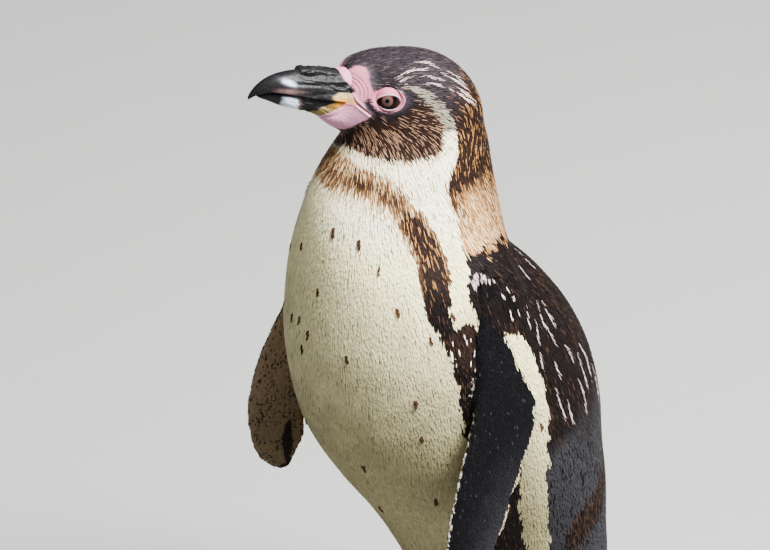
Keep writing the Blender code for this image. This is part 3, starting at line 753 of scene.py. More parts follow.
def make_skin(settings, tones, finish):
    """One skin over the flesh, drawn in by the coat's depth, with the folds and colours of the face."""
    bm = copied(FLESH + FEET)
    for centre, half in FACE_FLESH:
        place = Matrix.Translation(Vector(from_head(centre))) @ Matrix(AXES.T.tolist()).to_4x4()
        size = Matrix.Diagonal((*(np.array(half) * MM), 1.0))
        bmesh.ops.create_uvsphere(bm, u_segments=32, v_segments=20, radius=1.0, matrix=place @ size)
    slope = Matrix.Rotation(-TAIL_SLOPE, 4, "X")
    stump = Matrix.Translation(Vector(TAIL_ROOT + SHIFT)) @ slope
    size = Matrix.Diagonal((TAIL_HALF_ROOT, 0.022, 0.0075, 1.0))
    bmesh.ops.create_uvsphere(bm, u_segments=24, v_segments=16, radius=1.0, matrix=stump @ size)
    skin = object_from("skin", bm, finish)
    remesh = skin.modifiers.new("flesh", "REMESH")
    remesh.mode, remesh.voxel_size = "VOXEL", settings.voxel
    settle(skin)
    mesh = skin.data
    points = places_of(mesh)
    kinds = kinds_of(points)
    head = in_head(points)
    blade = np.isin(kinds, (LEFT_KIND, RIGHT_KIND))
    hold = np.select([kinds == FOOT_KIND, blade, head[:, 2] > -28], [0.10, 0.0, 0.34], 0.6)
    points = smoothed(mesh, points, 14, hold)
    move_to(mesh, smoothed(mesh, points, 24, 0.5 * blade, 1.03))
    subdivide_face(mesh)
    points = places_of(mesh)
    near = (points[:, 2] > SKULL[2] - FACE_DEPTH) & (in_head(points)[:, 0] > 10)
    points = smoothed(mesh, points, 4, 0.5 * near)
    move_to(mesh, points)
    kinds = kinds_of(points)
    depth = coat_depth(points, kinds, settings)
    naked = ease(-0.8, 0.8, bare_face(points)) * (points[:, 2] > SKULL[2] - 0.03)
    points = points + normals_of(mesh) * (naked * face_relief(points) * MM - depth)[:, None]
    move_to(mesh, points)
    tone = markings(points, tones, spotted=True)[0]
    tone += (face_colour(points, tones) - tone) * naked[:, None]
    for kind, side in FLIPPERS:
        painted = flipper_markings(points, normals_of(mesh), side, tones)[0]
        tone = np.where((kinds == kind)[:, None], painted, tone)
    foot = tones["foot"] * (1 + 0.35 * grain(points, 0.004, 9))[:, None]
    painter(tones, foot)(0.55 * ease(0.15, 0.6, grain(points, 0.011, 12)), "foot_pink")
    tone = np.where((kinds == FOOT_KIND)[:, None], foot, tone)
    tint_vertices(mesh, "tone", tone)
    store(mesh, "naked", naked)
    store(mesh, "scaly", kinds == FOOT_KIND)
    store(mesh, "kind", kinds)
    store(mesh, "coat_depth", depth)
    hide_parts(*FLESH, *FEET)
    return skin


# ---------------------------------------------------------------- feathers


def lie_of(points, normals, kinds):
    """Which way the feathers lie: back over the head, down the body, along the flippers, on to the tail."""
    ahead, left, up = in_head(points).T
    x, y, height = (points - SHIFT).T
    flow = np.tile((0.0, 0.10, -1.0), (len(points), 1))
    flow[:, 0] += -0.10 * np.sign(x) * ease(0.16, 0.10, height)
    flow[:, 1] += 0.85 * ease(0.19, 0.11, height) * ease(0.0, 0.05, y)
    flow[:, 1] += 1.6 * ease(0.14, 0.07, height) * ease(0.07, 0.02, y)
    flow[:, 0] += 0.12 * grain(points, 0.03, 21)
    drop = np.radians(3 + 62 * ease(2, -30, up) + 85 * ease(2, -34, ahead) * ease(30, 5, up))
    over = -np.cos(drop)[:, None] * AXES[0] - np.sin(drop)[:, None] * AXES[2]
    over = over + (0.16 * np.sign(left) * ease(36, 46, ahead))[:, None] * AXES[1]
    share = ease(0.408, 0.438, height)[:, None]
    flow = flow * (1 - share) + over * share
    for kind, side in FLIPPERS:
        _, span, chord, _ = flipper_frame(in_flipper(points, side)[0], side)
        flow = np.where((kinds == kind)[:, None], span + 0.22 * chord, flow)
    flow = np.where(np.isin(kinds, (LEG_KIND, FOOT_KIND))[:, None], (0.0, -0.15, -1.0), flow)
    return unit(flow - (flow * normals).sum(1, keepdims=True) * normals)


def skin_faces(skin):
    """The skin as arrays for sowing: corners, normals, kinds, depths and a tree."""
    mesh = skin.data
    mesh.calc_loop_triangles()
    corners = read(mesh.loop_triangles, "vertices", 3, np.int32)
    points = places_of(mesh)
    tree = BVHTree.FromPolygons(points.tolist(), corners.tolist(), all_triangles=True)
    return {
        "points": points, "corners": corners, "normals": normals_of(mesh), "tree": tree,
        "kinds": stored(mesh, "kind").astype(int), "depths": stored(mesh, "coat_depth"),
        "middles": points[corners].mean(axis=1),
    }


def sow(ground, chosen, spacing, seed):
    """Feather roots over the chosen faces, at least their spacing apart. Both are per face."""
    rng = np.random.default_rng(seed)
    index = np.flatnonzero(chosen)
    corners = ground["corners"][index]
    a, b, c = ground["points"][corners].transpose(1, 0, 2)
    spacing = spacing[index]
    want = np.linalg.norm(np.cross(b - a, c - a), axis=1) / 2 / spacing**2 * 3.4
    total = np.cumsum(want)
    pick = np.searchsorted(total, rng.random(int(total[-1])) * total[-1])
    first, second = np.sqrt(rng.random(len(pick))), rng.random(len(pick))
    shares = np.stack((1 - first, first * (1 - second), first * second), axis=1)
    points = (ground["points"][corners[pick]] * shares[:, :, None]).sum(1)
    gaps = spacing[pick]
    cell = gaps.max()
    keys = np.floor(points / cell).astype(int).tolist()
    near = [(i, j, k) for i in (-1, 0, 1) for j in (-1, 0, 1) for k in (-1, 0, 1)]
    near.sort(key=lambda step: sum(map(abs, step)))
    grid, kept = {}, []
    for number, ((i, j, k), (x, y, z), gap) in enumerate(zip(keys, points.tolist(), (gaps**2).tolist())):
        for di, dj, dk in near:
            held = grid.get((i + di, j + dj, k + dk))
            if held and any((x - u) ** 2 + (y - v) ** 2 + (z - w) ** 2 < gap for u, v, w in held):
                break
        else:
            grid.setdefault((i, j, k), []).append((x, y, z))
            kept.append(number)
    pick, shares, points = pick[kept], shares[kept], points[kept]
    at = corners[pick]
    normals = unit((ground["normals"][at] * shares[:, :, None]).sum(1))
    depths = (ground["depths"][at] * shares).sum(1)
    kinds = ground["kinds"][at[:, 0]]
    return points, normals, depths, kinds


# Shares of a feather's length where its rows lie, their breadth on a broad and on a fine feather, and how
# much of the coat's depth the rows and the tip have risen
ROWS = np.array((0.42, 0.82))
BROAD = np.array((0.96, 0.80))
FINE = np.array((0.85, 0.48))
RISES = np.array((0.52, 0.90, 1.0))


def vanes(centres, sides, normals, widths, arch, roots, tips, columns):
    """Thin curved vanes as points and triangles: a root, rows of columns across, and a tip."""
    count, rows = widths.shape
    across = np.linspace(-1, 1, columns)
    spread = across[None, None, :, None]
    grid = centres[:, :, None] + sides[:, :, None] * widths[:, :, None, None] * spread
    grid -= normals[:, :, None] * (widths * arch)[:, :, None, None] * spread**2
    points = np.concatenate((roots[:, None], grid.reshape(count, -1, 3), tips[:, None]), axis=1)
    faces = []
    for k in range(columns - 1):
        faces.append((0, 2 + k, 1 + k))
        for row in range(rows - 1):
            here, there = 1 + row * columns + k, 1 + (row + 1) * columns + k
            faces += [(here, here + 1, there + 1), (here, there + 1, there)]
        last = 1 + (rows - 1) * columns + k
        faces.append((last, last + 1, 1 + rows * columns))
    per = 2 + rows * columns
    faces = np.array(faces)[None] + np.arange(count)[:, None, None] * per
    return points.reshape(-1, 3), faces.reshape(-1, 3)


def unwrap(points, kinds):
    """Where each root lies on the skin laid flat: round and up the body, along and over each flipper."""
    angle, height = in_body(points)
    flat = np.stack((angle / 360, height / 500), axis=1)
    for kind, side in FLIPPERS:
        share, across, out = in_flipper(points, side)
        flap = np.stack((np.where(out > 0, across, 2.2 - across) * 0.3, share), axis=1)
        flat = np.where((kinds == kind)[:, None], flap, flat)
    return flat


def bake_places(roots, kinds, local):
    """Each vane's corners on the OFBake map: a small patch at its root's place on the flat skin."""
    flat = unwrap(roots, kinds)
    low, high = flat.min(axis=0), flat.max(axis=0)
    flat = 0.01 + 0.98 * (flat - low) / np.maximum(high - low, 1e-6)
    return flat[:, None] + (local - 0.5)[None] * 0.003


def coat_mesh(name, points, faces, colours, places, finish):
    """A mesh from arrays, with its colours and its OFBake map."""
    mesh = bpy.data.meshes.new(name)
    mesh.vertices.add(len(points))
    mesh.vertices.foreach_set("co", points.astype(np.float32).ravel())
    mesh.loops.add(faces.size)
    mesh.loops.foreach_set("vertex_index", faces.astype(np.int32).ravel())
    mesh.polygons.add(len(faces))
    mesh.polygons.foreach_set("loop_start", np.arange(0, faces.size, 3, dtype=np.int32))
    mesh.update(calc_edges=True)
    mesh.validate()
    tint_vertices(mesh, "plumage", colours)
    layer = mesh.uv_layers.new(name="OFBake")
    layer.uv.foreach_set("vector", places[faces.ravel()].astype(np.float32).ravel())
    return placed(name, mesh, finish)


def nearest(tree, points):
    """The skin's nearest places and their normals."""
    found = [tree.find_nearest(point)[:2] for point in points.tolist()]
    return tuple(np.array(column) for column in zip(*found))


def feathered(name, ground, sown, length, half_width, tones, finish, seed, extra=()):
    """One piece of the coat.

    sown is what sow gave, length and half_width are per root in metres, and extra holds feathers of its
    own colours, as `coloured` gives them.
    """
    rng = np.random.default_rng(seed)
    roots, normals, depths, kinds = sown
    lies = lie_of(roots, normals, kinds)
    visible = roots + lies * (length * 0.76)[:, None]
    tone, edge, odd, stray = markings(visible, tones)
    for kind, side in FLIPPERS:
        rows = np.flatnonzero(kinds == kind)
        if len(rows):
            parts = flipper_markings(visible[rows], normals[rows], side, tones)
            tone[rows], edge[rows], odd[rows], stray[rows] = parts
    picked = rng.random(len(roots)) < odd
    tone[picked], edge[picked] = stray[picked], stray[picked] * 1.08
    dark = ease(0.30, 0.10, tone.mean(axis=1))
    tone = tone * (1 + (0.035 + 0.14 * dark) * rng.normal(0, 1, len(roots)))[:, None]
    blade = np.isin(kinds, (LEFT_KIND, RIGHT_KIND))
    thin = np.where(picked, np.where(blade, 0.85, 0.55), 1.0)
    length = length * np.where(picked, np.where(blade, 0.85, 1.25), 1.0)
    for kind, side in FLIPPERS:
        share, across, _ = in_flipper(roots, side)
        dashed = picked & (kinds == kind) & (np.abs(share - 0.46) < 0.19) & (across > 0.42)
        _, span, chord, outward = flipper_frame(share, side)
        along = unit(chord + 0.4 * span - ((chord + 0.4 * span) * normals).sum(1, keepdims=True) * normals)
        lies = np.where((dashed & ((normals * outward).sum(1) < 0))[:, None], along, lies)
        length = np.where(dashed, length * 1.5, length)
    lift = picked * 0.00012
    fine = 0.12 + 0.5 * ease(0.385, 0.425, roots[:, 2] - SHIFT[2])
    if extra:
        more = [np.concatenate(parts) for parts in zip(*extra)]
        grown = (roots, normals, depths, lies, length, half_width, tone, edge)
        roots, normals, depths, lies, length, half_width, tone, edge = map(np.concatenate, zip(grown, more))
        added = len(more[0])
        kinds = np.append(kinds, np.full(added, BODY_KIND))
        thin, lift = np.append(thin, np.ones(added)), np.append(lift, np.full(added, 0.00045))
        fine = np.append(fine, half_width[-added:] < 0.0007)
    count = len(roots)
    turn = rng.normal(0, 0.07, count)
    sides = np.cross(lies, normals)
    lies = lies * np.cos(turn)[:, None] + sides * np.sin(turn)[:, None]
    length = length * (1 + 0.12 * rng.normal(0, 1, count).clip(-2, 2))

    at_half, n_half = nearest(ground["tree"], roots + lies * (length * 0.5)[:, None])
    at_full, n_full = nearest(ground["tree"], roots + lies * length[:, None])
    n_half, n_full = unit(n_half + 0.6 * normals), unit(n_full + 0.4 * n_half)
    rise = depths * (1 + 0.045 * rng.normal(0, 1, count).clip(-2, 2)) + lift
    shares = np.append(ROWS, 1.0)[None, :, None]
    first, second = (at_half - roots)[:, None], (at_full - roots)[:, None]
    middles = roots[:, None] + (4 * first - second) * shares + (2 * second - 4 * first) * shares**2
    bent = unit(normals[:, None] + (4 * n_half - 3 * normals - n_full)[:, None] * shares
                + (2 * n_full + 2 * normals - 4 * n_half)[:, None] * shares**2)
    middles = middles + bent * (rise[:, None] * RISES)[:, :, None]
    across = unit(np.cross(lies[:, None], bent))
    breadth = half_width[:, None] * (BROAD + (FINE - BROAD) * fine[:, None]) * thin[:, None]
    hidden = roots - normals * 0.0002
    arch = 0.07
    points, faces = vanes(middles[:, :2], across[:, :2], bent[:, :2], breadth, arch, hidden, middles[:, 2], 3)

    fringe = rng.uniform(0.25, 1.0, count)[:, None] * np.array((0, 0.25, 0, 0.25, 0.9, 0.12, 0.9, 1))
    colours = tone[:, None] + (edge - tone)[:, None] * fringe[:, :, None]
    local = np.array([(0.5, 0)] + [(x, s) for s in ROWS for x in (0, 0.5, 1)] + [(0.5, 1)])
    places = bake_places(roots, kinds, local)
    return coat_mesh(name, points, faces, colours.reshape(-1, 3), places.reshape(-1, 2), finish)


def coloured(parts, tone, edge):
    """Feathers of their own colours: roots, normals, depths, lies, lengths, half widths and two colours."""
    columns = [np.array(column, float) for column in zip(*parts)]
    return (*columns, np.tile(tone, (len(parts), 1)), np.tile(edge, (len(parts), 1)))


def streak_feathers(ground, lines, place, length, half_width, tone, seed):
    """Long pale feathers set along lines. place gives the ray that meets the body at a point of a line."""
    rng = np.random.default_rng(seed)
    tree, parts = ground["tree"], []
    for line in lines:
        spots = []
        for point in line:
            start, way = place(point)
            hit = tree.ray_cast(Vector(start), Vector(way), 0.5)
            if hit[0] is not None:
                spots.append(np.array(hit[0]))
        if len(spots) < 2:
            continue
        path = np.array(spots)
        run = np.append(0, np.cumsum(np.linalg.norm(np.diff(path, axis=0), axis=1)))
        for along in np.arange(0, run[-1], 0.0011):
            at = np.array([np.interp(along, run, path[:, k]) for k in range(3)])
            ahead = np.array([np.interp(along + 0.004, run, path[:, k]) for k in range(3)])
            way = ahead - at if along + 0.004 < run[-1] else path[-1] - path[-2]
            spot, normal, face, _ = tree.find_nearest(at + rng.normal(0, 0.00018, 3))
            way = unit(way - (way @ normal) * np.array(normal))
            depth = ground["depths"][ground["corners"][face]].mean()
            grow = 0.35 + 0.9 * math.sin(math.pi * min(along / run[-1], 1.0))
            if rng.random() < 0.8:
                parts.append((spot, normal, depth, way, length * (0.7 + 0.3 * grow), half_width * grow))
    return [coloured(parts, tone, tone * 1.1)]


def spot_feathers(ground, spots, tone, edge, seed):
    """The dark flecks of the belly, each a few feathers lying over each other."""
    rng = np.random.default_rng(seed)
    tree, parts = ground["tree"], []
    for angle, height in spots:
        size = rng.uniform(0.8, 1.15)
        for step in range(5):
            start, way = from_body(angle + rng.normal(0, 0.15), height + 4.5 - 0.8 * step)
            spot, normal, face, _ = tree.ray_cast(Vector(start), Vector(way), 0.5)
            lie = lie_of(np.array([spot]), np.array([normal]), np.array([BODY_KIND]))[0]
            depth = ground["depths"][ground["corners"][face]].mean()
            parts.append((spot, normal, depth + 0.0002, lie, 0.0048 * size, 0.00092 * size))
    return [coloured(parts, tone, edge)]


def crown_ray(side):
    """Meets the head from outside, square to its round side."""
    def ray(place):
        ahead, up = place
        start = from_head((ahead, side * 80.0 * math.cos(math.asin(min(up, 29.5) / 30)), up * 2.6))
        core = from_head((ahead, 0.0, 0.0))
        return start, unit(core - start)
    return ray


def body_ray(side):
    """Meets the body from outside, square to its side."""
    def ray(place):
        return from_body(place[0] * side, place[1])
    return ray


# Heights in mm that part the belly from the breast, the breast from the neck, and the neck from the head
WAIST, COLLAR, THROAT = 262, 376, 426


def coat_plan(ground):
    """Each piece's name and chosen faces."""
    middles = ground["middles"]
    kinds = ground["kinds"][ground["corners"][:, 0]]
    angle, height = in_body(middles)
    flesh = (kinds == BODY_KIND) & ~((height > 410) & (bare_face(middles) > 0.15))
    front = np.abs(angle) < 95
    left = np.where(height > THROAT, in_head(middles)[:, 1], angle) > 0
    head, chest = flesh & (height >= THROAT), flesh & (height < COLLAR) & (height >= WAIST)
    belly, rump = flesh & (height < WAIST) & front, flesh & (height < WAIST) & ~front
    return (
        ("coat_head_left", head & left), ("coat_head_right", head & ~left),
        ("coat_neck", flesh & (height < THROAT) & (height >= COLLAR)),
        ("coat_breast", chest & front),
        ("coat_belly_left", belly & left), ("coat_belly_right", belly & ~left),
        ("coat_back", chest & ~front),
        ("coat_rump_left", rump & left), ("coat_rump_right", rump & ~left),
        ("coat_flipper_left", kinds == LEFT_KIND),
        ("coat_flipper_right", kinds == RIGHT_KIND),
        ("coat_legs", (kinds == LEG_KIND) & (height > 39)),
    )


def sizes_at(points, kinds):
    """Spacing, length and half width of the feathers at these places, in metres."""
    height = points[:, 2] - SHIFT[2]
    ladder = (0.05, 0.14, 0.36, 0.40, 0.43, 0.46)
    spacing = np.interp(height, ladder, (1.20, 1.08, 0.98, 0.88, 0.76, 0.72)) * MM
    length = np.interp(height, ladder, (8.0, 8.2, 7.8, 7.0, 6.4, 5.6)) * MM
    half = np.interp(height, ladder, (0.80, 0.74, 0.64, 0.46, 0.36, 0.33)) * MM
    room = np.where(height > 0.42, -bare_face(points), 50)
    ahead, _, up = in_head(points).T
    scaly = ease(6, 26, ahead) * ease(0, 8, up)
    length = np.minimum(length * (1 - 0.35 * scaly), (2.0 + 0.8 * np.maximum(room, 0)) * MM)
    half = half * (1 + 0.35 * scaly)
    blade = np.isin(kinds, (LEFT_KIND, RIGHT_KIND))
    shoulder = np.zeros(len(points))
    for kind, way in FLIPPERS:
        shoulder = np.where(kinds == kind, ease(0.16, 0.02, in_flipper(points, way)[0]), shoulder)
    spacing = np.where(blade, (0.86 + 0.2 * shoulder) * MM, spacing)
    length = np.where(blade, (2.9 + 3.6 * shoulder) * MM, length)
    half = np.where(blade, (0.54 + 0.15 * shoulder) * MM, half)
    leg = kinds == LEG_KIND
    low = ease(0.08, 0.04, height)
    length = np.where(leg, (8 - 4.5 * low) * MM, length)
    half = np.where(leg, 0.7 * MM, half)
    return spacing, length, half


def make_coat(settings, tones, finishes):
    """The body feathers, in one piece for each part of the bird."""
    ground = skin_faces(bpy.data.objects["skin"])
    side_kinds = ground["kinds"][ground["corners"][:, 0]]
    spacing = sizes_at(ground["middles"], side_kinds)[0] / settings.fullness

    def crown(seed, side, sown):
        hair = 0.0070, 0.00019, tones["crown_streak"]
        return streak_feathers(ground, crown_streaks(seed), crown_ray(side), *hair, sown)

    def back(seed, side, sown):
        worn = 0.0085, 0.00030, tones["back_streak"]
        return streak_feathers(ground, back_streaks(seed), body_ray(side), *worn, sown)

    extra = {
        "coat_head_left": crown(3, 1, 3), "coat_head_right": crown(4, -1, 5),
        "coat_breast": spot_feathers(ground, belly_spots(SPOT_SEED), tones["spot"], tones["spot_edge"], 9),
        "coat_back": back(6, 1, 6) + back(7, -1, 8),
    }
    made = []
    for order, (name, chosen) in enumerate(coat_plan(ground)):
        sown = sow(ground, chosen, spacing, 40 + order)
        _, length, half = sizes_at(sown[0], sown[3])
        finish = finishes["flipper_coat" if "flipper" in name else "coat_down"]
        made.append(feathered(name, ground, sown, length * settings.length, half, tones, finish,
                              60 + order, extra.get(name, ())))
    return made


# The tail's layers of feathers: how many, their reach and breadth as shares of the longest, and their rise in
# metres, which is below 0 for the feathers that show from underneath
TAIL_LAYERS = (
    (TAIL_FEATHERS, 1.0, 1.0, 0.0), (13, 0.52, 0.62, 0.0022), (11, 0.36, 0.55, 0.0038),
    (TAIL_FEATHERS - 1, 0.66, 0.8, -0.0030),
)
TAIL_ROWS, TAIL_COLUMNS = 12, 7


def make_tail(tones, finish):
    """Stiff tail feathers in a fan, the middle ones longest and on top, over a spread of coverts."""
    rng = np.random.default_rng(90)
    down = np.array((0, math.cos(TAIL_SLOPE), -math.sin(TAIL_SLOPE)))
    over = np.array((0, math.sin(TAIL_SLOPE), math.cos(TAIL_SLOPE)))
    shares = np.linspace(0.06, 0.985, TAIL_ROWS)
    blades = []
    for count, reach, wide, rise in TAIL_LAYERS:
        out = over if rise >= 0 else -over
        for order in range(count):
            side = 2 * order / (count - 1) - 1
            fan = side * TAIL_FAN * 0.92
            along = unit(down * math.cos(fan) + np.array((math.sin(fan), 0, 0)))
            across = np.cross(along, out)
            lift = rise - 0.0042 * side**2 - 0.00012 * (order % 2)
            start = TAIL_ROOT + SHIFT + np.array((TAIL_HALF_ROOT * 0.92 * side, 0, 0)) + over * lift
            length = TAIL_LENGTH * (1 - 0.26 * side**2) * reach * (1 - 0.04 * rng.random())
            breadth = 0.0068 * wide * np.sqrt(np.clip(1 - shares**9, 0.02, 1)) * (1 - 0.2 * shares)
            bow = out * (0.0012 * np.sin(math.pi * shares))[:, None]
            centre = start + along * (length * shares)[:, None] + bow
            facing = np.tile(across, (TAIL_ROWS, 1)), np.tile(out, (TAIL_ROWS, 1))
            blades.append((centre, *facing, breadth, start, start + along * length))
    centres, sides, faces_out, widths, roots, tips = (np.array(part) for part in zip(*blades))
    points, faces = vanes(centres, sides, faces_out, widths, 0.16, roots, tips, TAIL_COLUMNS)
    local = [(x, share) for share in shares for x in np.linspace(0, 1, TAIL_COLUMNS)]
    local = np.array([(0.5, 0), *local, (0.5, 1)])
    across, along = np.tile(local, (len(blades), 1)).T
    # The tail's ground is half the lower back's grey, painted sheen included
    tone = np.tile(tones["rump"] * 0.5, (len(points), 1))
    tint = painter(tones, tone)
    tint(0.55 * ease(0.55, 1.0, along + 0.2 * grain(points, 0.006, 71)), "worn")
    tint(0.7 * bell(2 * across - 1, 0.10), "back")
    tone = tone * np.repeat(1 + 0.12 * rng.normal(0, 1, len(blades)), len(local))[:, None]
    places = bake_places(roots, np.zeros(len(roots), int), local)
    tail = coat_mesh("coat_tail", points, faces, tone, places.reshape(-1, 2), finish)
    thick = tail.modifiers.new("vane", "SOLIDIFY")
    thick.thickness, thick.offset = 0.00035, -1.0
    settle(tail)
    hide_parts("tail")
    return tail


# ---------------------------------------------------------------- bill

# Forward of the head's centre, the gape's height, the outer edge's height, half the breadth
UPPER_BILL = (
    (0.0335, -0.0030, 0.0165, 0.0112), (0.0460, -0.0010, 0.0177, 0.0112), (0.0560, 0, 0.0167, 0.0105),
    (0.0675, 0.0010, 0.0168, 0.0096), (0.0790, 0.0022, 0.0157, 0.0083), (0.0880, 0.0032, 0.0138, 0.0068),
    (0.0950, 0.0030, 0.0108, 0.0049), (0.1005, 0.0014, 0.0066, 0.0030), (0.1040, -0.0008, 0.0024, 0.0014),
    (0.1052, -0.0018, -0.0002, 0.0005),
)
LOWER_BILL = (
    (0.0335, -0.0027, -0.0190, 0.0106), (0.0460, -0.0007, -0.0180, 0.0104), (0.0560, 0.0002, -0.0131, 0.0092),
    (0.0675, 0.0010, -0.0087, 0.0081), (0.0790, 0.0018, -0.0066, 0.0070), (0.0868, 0.0026, -0.0046, 0.0056),
    (0.0935, 0.0022, -0.0023, 0.0039), (0.0983, 0.0011, -0.0008, 0.0018), (0.1002, 0.0009, 0.0003, 0.0004),
)


def horn_relief(points, ahead, up, share, plates, upper):
    """Height of the plates, grooves and torn edges of one half of the bill, in mm."""
    horny = ease(82, 74, ahead + 3 * grain(points, 0.004, 56)) * (share > 0.03)
    relief = -0.50 * (1 - plates) * horny
    relief += 0.10 * grain(points * (0.25, 1, 1), 0.0012, 57) * horny
    relief += 0.05 * grain(points * (0.3, 1, 1), 0.0030, 58)
    if upper:
        torn = grain(points, 0.0021, 59)
        loose = ease(0.80, 0.90, share + 0.05 * torn) * ease(76.7, 75.9, ahead + 0.6 * torn)
        loose = loose * ease(50, 60, ahead)
        relief += loose * (1.7 + 0.55 * torn) * (1 - 0.35 * ease(72, 58, ahead))
        nostril = np.hypot((ahead - 53.0 - 0.5 * (up - 7.6)) / 4.4, (up - 7.6) / 0.75)
        relief -= 1.1 * ease(1.0, 0.45, nostril)
        groove = np.abs(up - np.interp(ahead, (48, 58, 70, 84, 92), (9.4, 8.6, 8.6, 8.4, 7.8)))
        relief -= 0.30 * bell(groove, 0.6) * ease(90, 78, ahead)
        relief += 0.20 * bell(groove - 1.6, 0.9) * ease(90, 78, ahead)
    else:
        ridge = np.abs(share - 0.42 - 0.004 * (ahead - 60))
        relief -= 0.25 * bell(ridge, 0.05) * ease(88, 74, ahead)
        fleshy = ease(-0.3, 0.5, np.interp(ahead, *JAW_LINE) - up)
        relief += (0.3 - relief) * fleshy
    naked = naked_bill(ahead, up)
    relief = relief + (0.15 + 0.07 * grain(points, 0.0009, 4) - relief) * naked
    return relief * ease(44, 48, ahead)


def naked_bill(ahead, up):
    """Share of the way from horn to naked skin over the base of the bill."""
    return ease(-0.3, 0.3, horn_rim(up) - ahead) * ease(7, 9, up)


def bill_half(name, stations, tones, finish, upper):
    """One half of the bill, round at its outer edge and shut flat along the gape."""
    rows, columns = 150, 150

    def place(down, around):
        body = curve_through(stations, np.clip((down - 0.01) / 0.98, 0, 1))
        shut = np.where((down < 0.004) | (down > 0.996), 0.0, 1.0)
        angle = around * 2 * math.pi
        outer = np.sin(angle) >= 0
        across = body[:, 3] * np.sign(np.cos(angle)) * np.abs(np.cos(angle)) ** 0.8
        height = body[:, 2] - body[:, 1]
        rise = np.where(outer, height * np.abs(np.sin(angle)) ** 0.85, -0.02 * height)
        return np.stack((body[:, 0], across * shut, body[:, 1] + rise * shut), axis=1)

    bm = sheet(rows, columns, place)
    mesh = bpy.data.meshes.new(name)
    bm.to_mesh(mesh)
    bm.free()
    points = places_of(mesh)
    ahead, left, up = points.T / MM
    line = curve_through(stations, np.linspace(0, 1, 400))
    gape, rim = (np.interp(points[:, 0], line[:, 0], line[:, column]) / MM for column in (1, 2))
    share = np.clip((up - gape) / np.where(np.abs(rim - gape) < 0.1, 0.1, rim - gape), 0, 1)
    far = 40 * (left < 0)
    if upper:
        plates = strands(ahead, 13.5 * share + far, 51)
    else:
        plates = strands(0.87 * ahead + 0.5 * up, 1.25 * (0.87 * up - 0.5 * ahead) + far, 54)
    relief = horn_relief(points, ahead, up, share, plates, upper)
    world = from_head(points / MM)
    move_to(mesh, world)
    move_to(mesh, world + normals_of(mesh) * (relief * MM)[:, None])
    tint_vertices(mesh, "tone", horn_colour(ahead, up, share, plates, upper, points, tones))
    store(mesh, "smooth_horn", ease(76, 90, ahead))
    return placed(name, mesh, finish)


# Where the pink of the jaw ends over the lower mandible, and the olive zone above it: forward and up, in mm
JAW_LINE = ((46, 54, 62, 70), (-1.5, -5.5, -9.5, -14))
OLIVE = smooth(((70, -9), (61, -4), (52, -0.5), (40, 0.5))) + [(40, -22), (70, -22)]


def horn_colour(ahead, up, share, plates, upper, points, tones):
    """The horn's colour, with its worn streaks and painted highlights on the strands, painted shade in the
    grooves, the pale band and the fleshy base.
    """
    colour = np.tile(tones["horn"], (len(points), 1))
    tint = painter(tones, colour)
    streak = grain(points * (0.22, 1, 1), 0.0013, 61)
    # Worn streaks on the strands, partly painted highlights
    tint((0.40 if upper else 1.0) * ease(0.0, 0.7, streak) * plates * ease(83, 74, ahead), "horn_grey")
    # Painted shade in the grooves between the strands
    tint(0.9 * (1 - plates) * ease(84, 76, ahead), "horn_dark")
    ragged = ahead + 1.6 * grain(points, 0.0028, 62)
    if upper:
        lean = ragged - 83.2 - 0.9 * (up - 9.4)
        band = bell(lean, 3.1) * bell(up - 9.2 - 0.10 * (ahead - 83), 1.35)
        tint(1.1 * band * (share > 0.2), "horn_pale")
        tint(0.75 * bell(ragged - 83, 6.5) * bell(up - 4.4, 1.4), "horn_rose")
        cream = ease(57.5, 54.5, ragged + 0.5 * np.maximum(up - 2, 0)) * ease(4.9, 4.0, up + 0.15 * streak)
        tint(cream, "horn_cream")
        tint(cream * ease(2.6, 0.6, up + 0.10 * (ahead - 50) + 0.3 * streak), "horn_orange")
        naked = naked_bill(ahead, up)
        tint(naked, "face")
        tint(0.5 * naked * ease(0.0, 0.8, grain(points, 0.004, 3)), "face_deep")
    else:
        bar = ease(75.4, 77.6, ragged) * ease(88.5, 81.5, ragged)
        tint(0.95 * bar * ease(0.06, 0.35, share + 0.08 * streak), "horn_pale")
        tint(0.5 * ease(73.5, 75.5, ragged) * ease(77.5, 75.5, ragged) * (share > 0.1), "horn_rose")
        olive = ease(-0.5, 0.7, within(OLIVE, ahead, up) + 0.5 * streak)
        tint(olive, "horn_olive")
        tint(0.8 * olive * ease(0.1, 0.6, streak) * plates, "horn_cream")
        tint(0.85 * olive * ease(61, 53, ragged) * ease(-5.5, -3.0, up + 0.1 * (ahead - 50)), "horn_orange")
        # Painted shade in the grooves of the olive base
        tint(0.85 * olive * (1 - plates) * ease(52, 58, ahead), "horn_dark")
        tint(ease(-0.3, 0.3, np.interp(ahead, *JAW_LINE) - up + 0.2 * streak), "jaw")
    return colour


# ---------------------------------------------------------------- eyes and lids


def make_eyeball(name, side, settings, finish):
    """An eyeball turned outwards and a little forward, with the cornea's low bulge."""
    bm = bmesh.new()
    bmesh.ops.create_uvsphere(bm, u_segments=64, v_segments=40, radius=settings.radius)
    for vert in bm.verts:
        spread = vert.co.angle(Vector((0, 0, 1)))
        vert.co *= 1 + 0.035 * math.exp(-((spread / 0.55) ** 2))
    way = Vector((GAZE * (1, side, 1)) @ AXES).normalized()
    turn = Vector((0, 0, 1)).rotation_difference(way).to_matrix().to_4x4()
    centre = Matrix.Translation(Vector(middle(name)))
    bmesh.ops.transform(bm, matrix=centre @ turn, verts=bm.verts)
    eye = object_from("eyeball" + name[3:], bm, finish)
    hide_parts(name)
    return eye


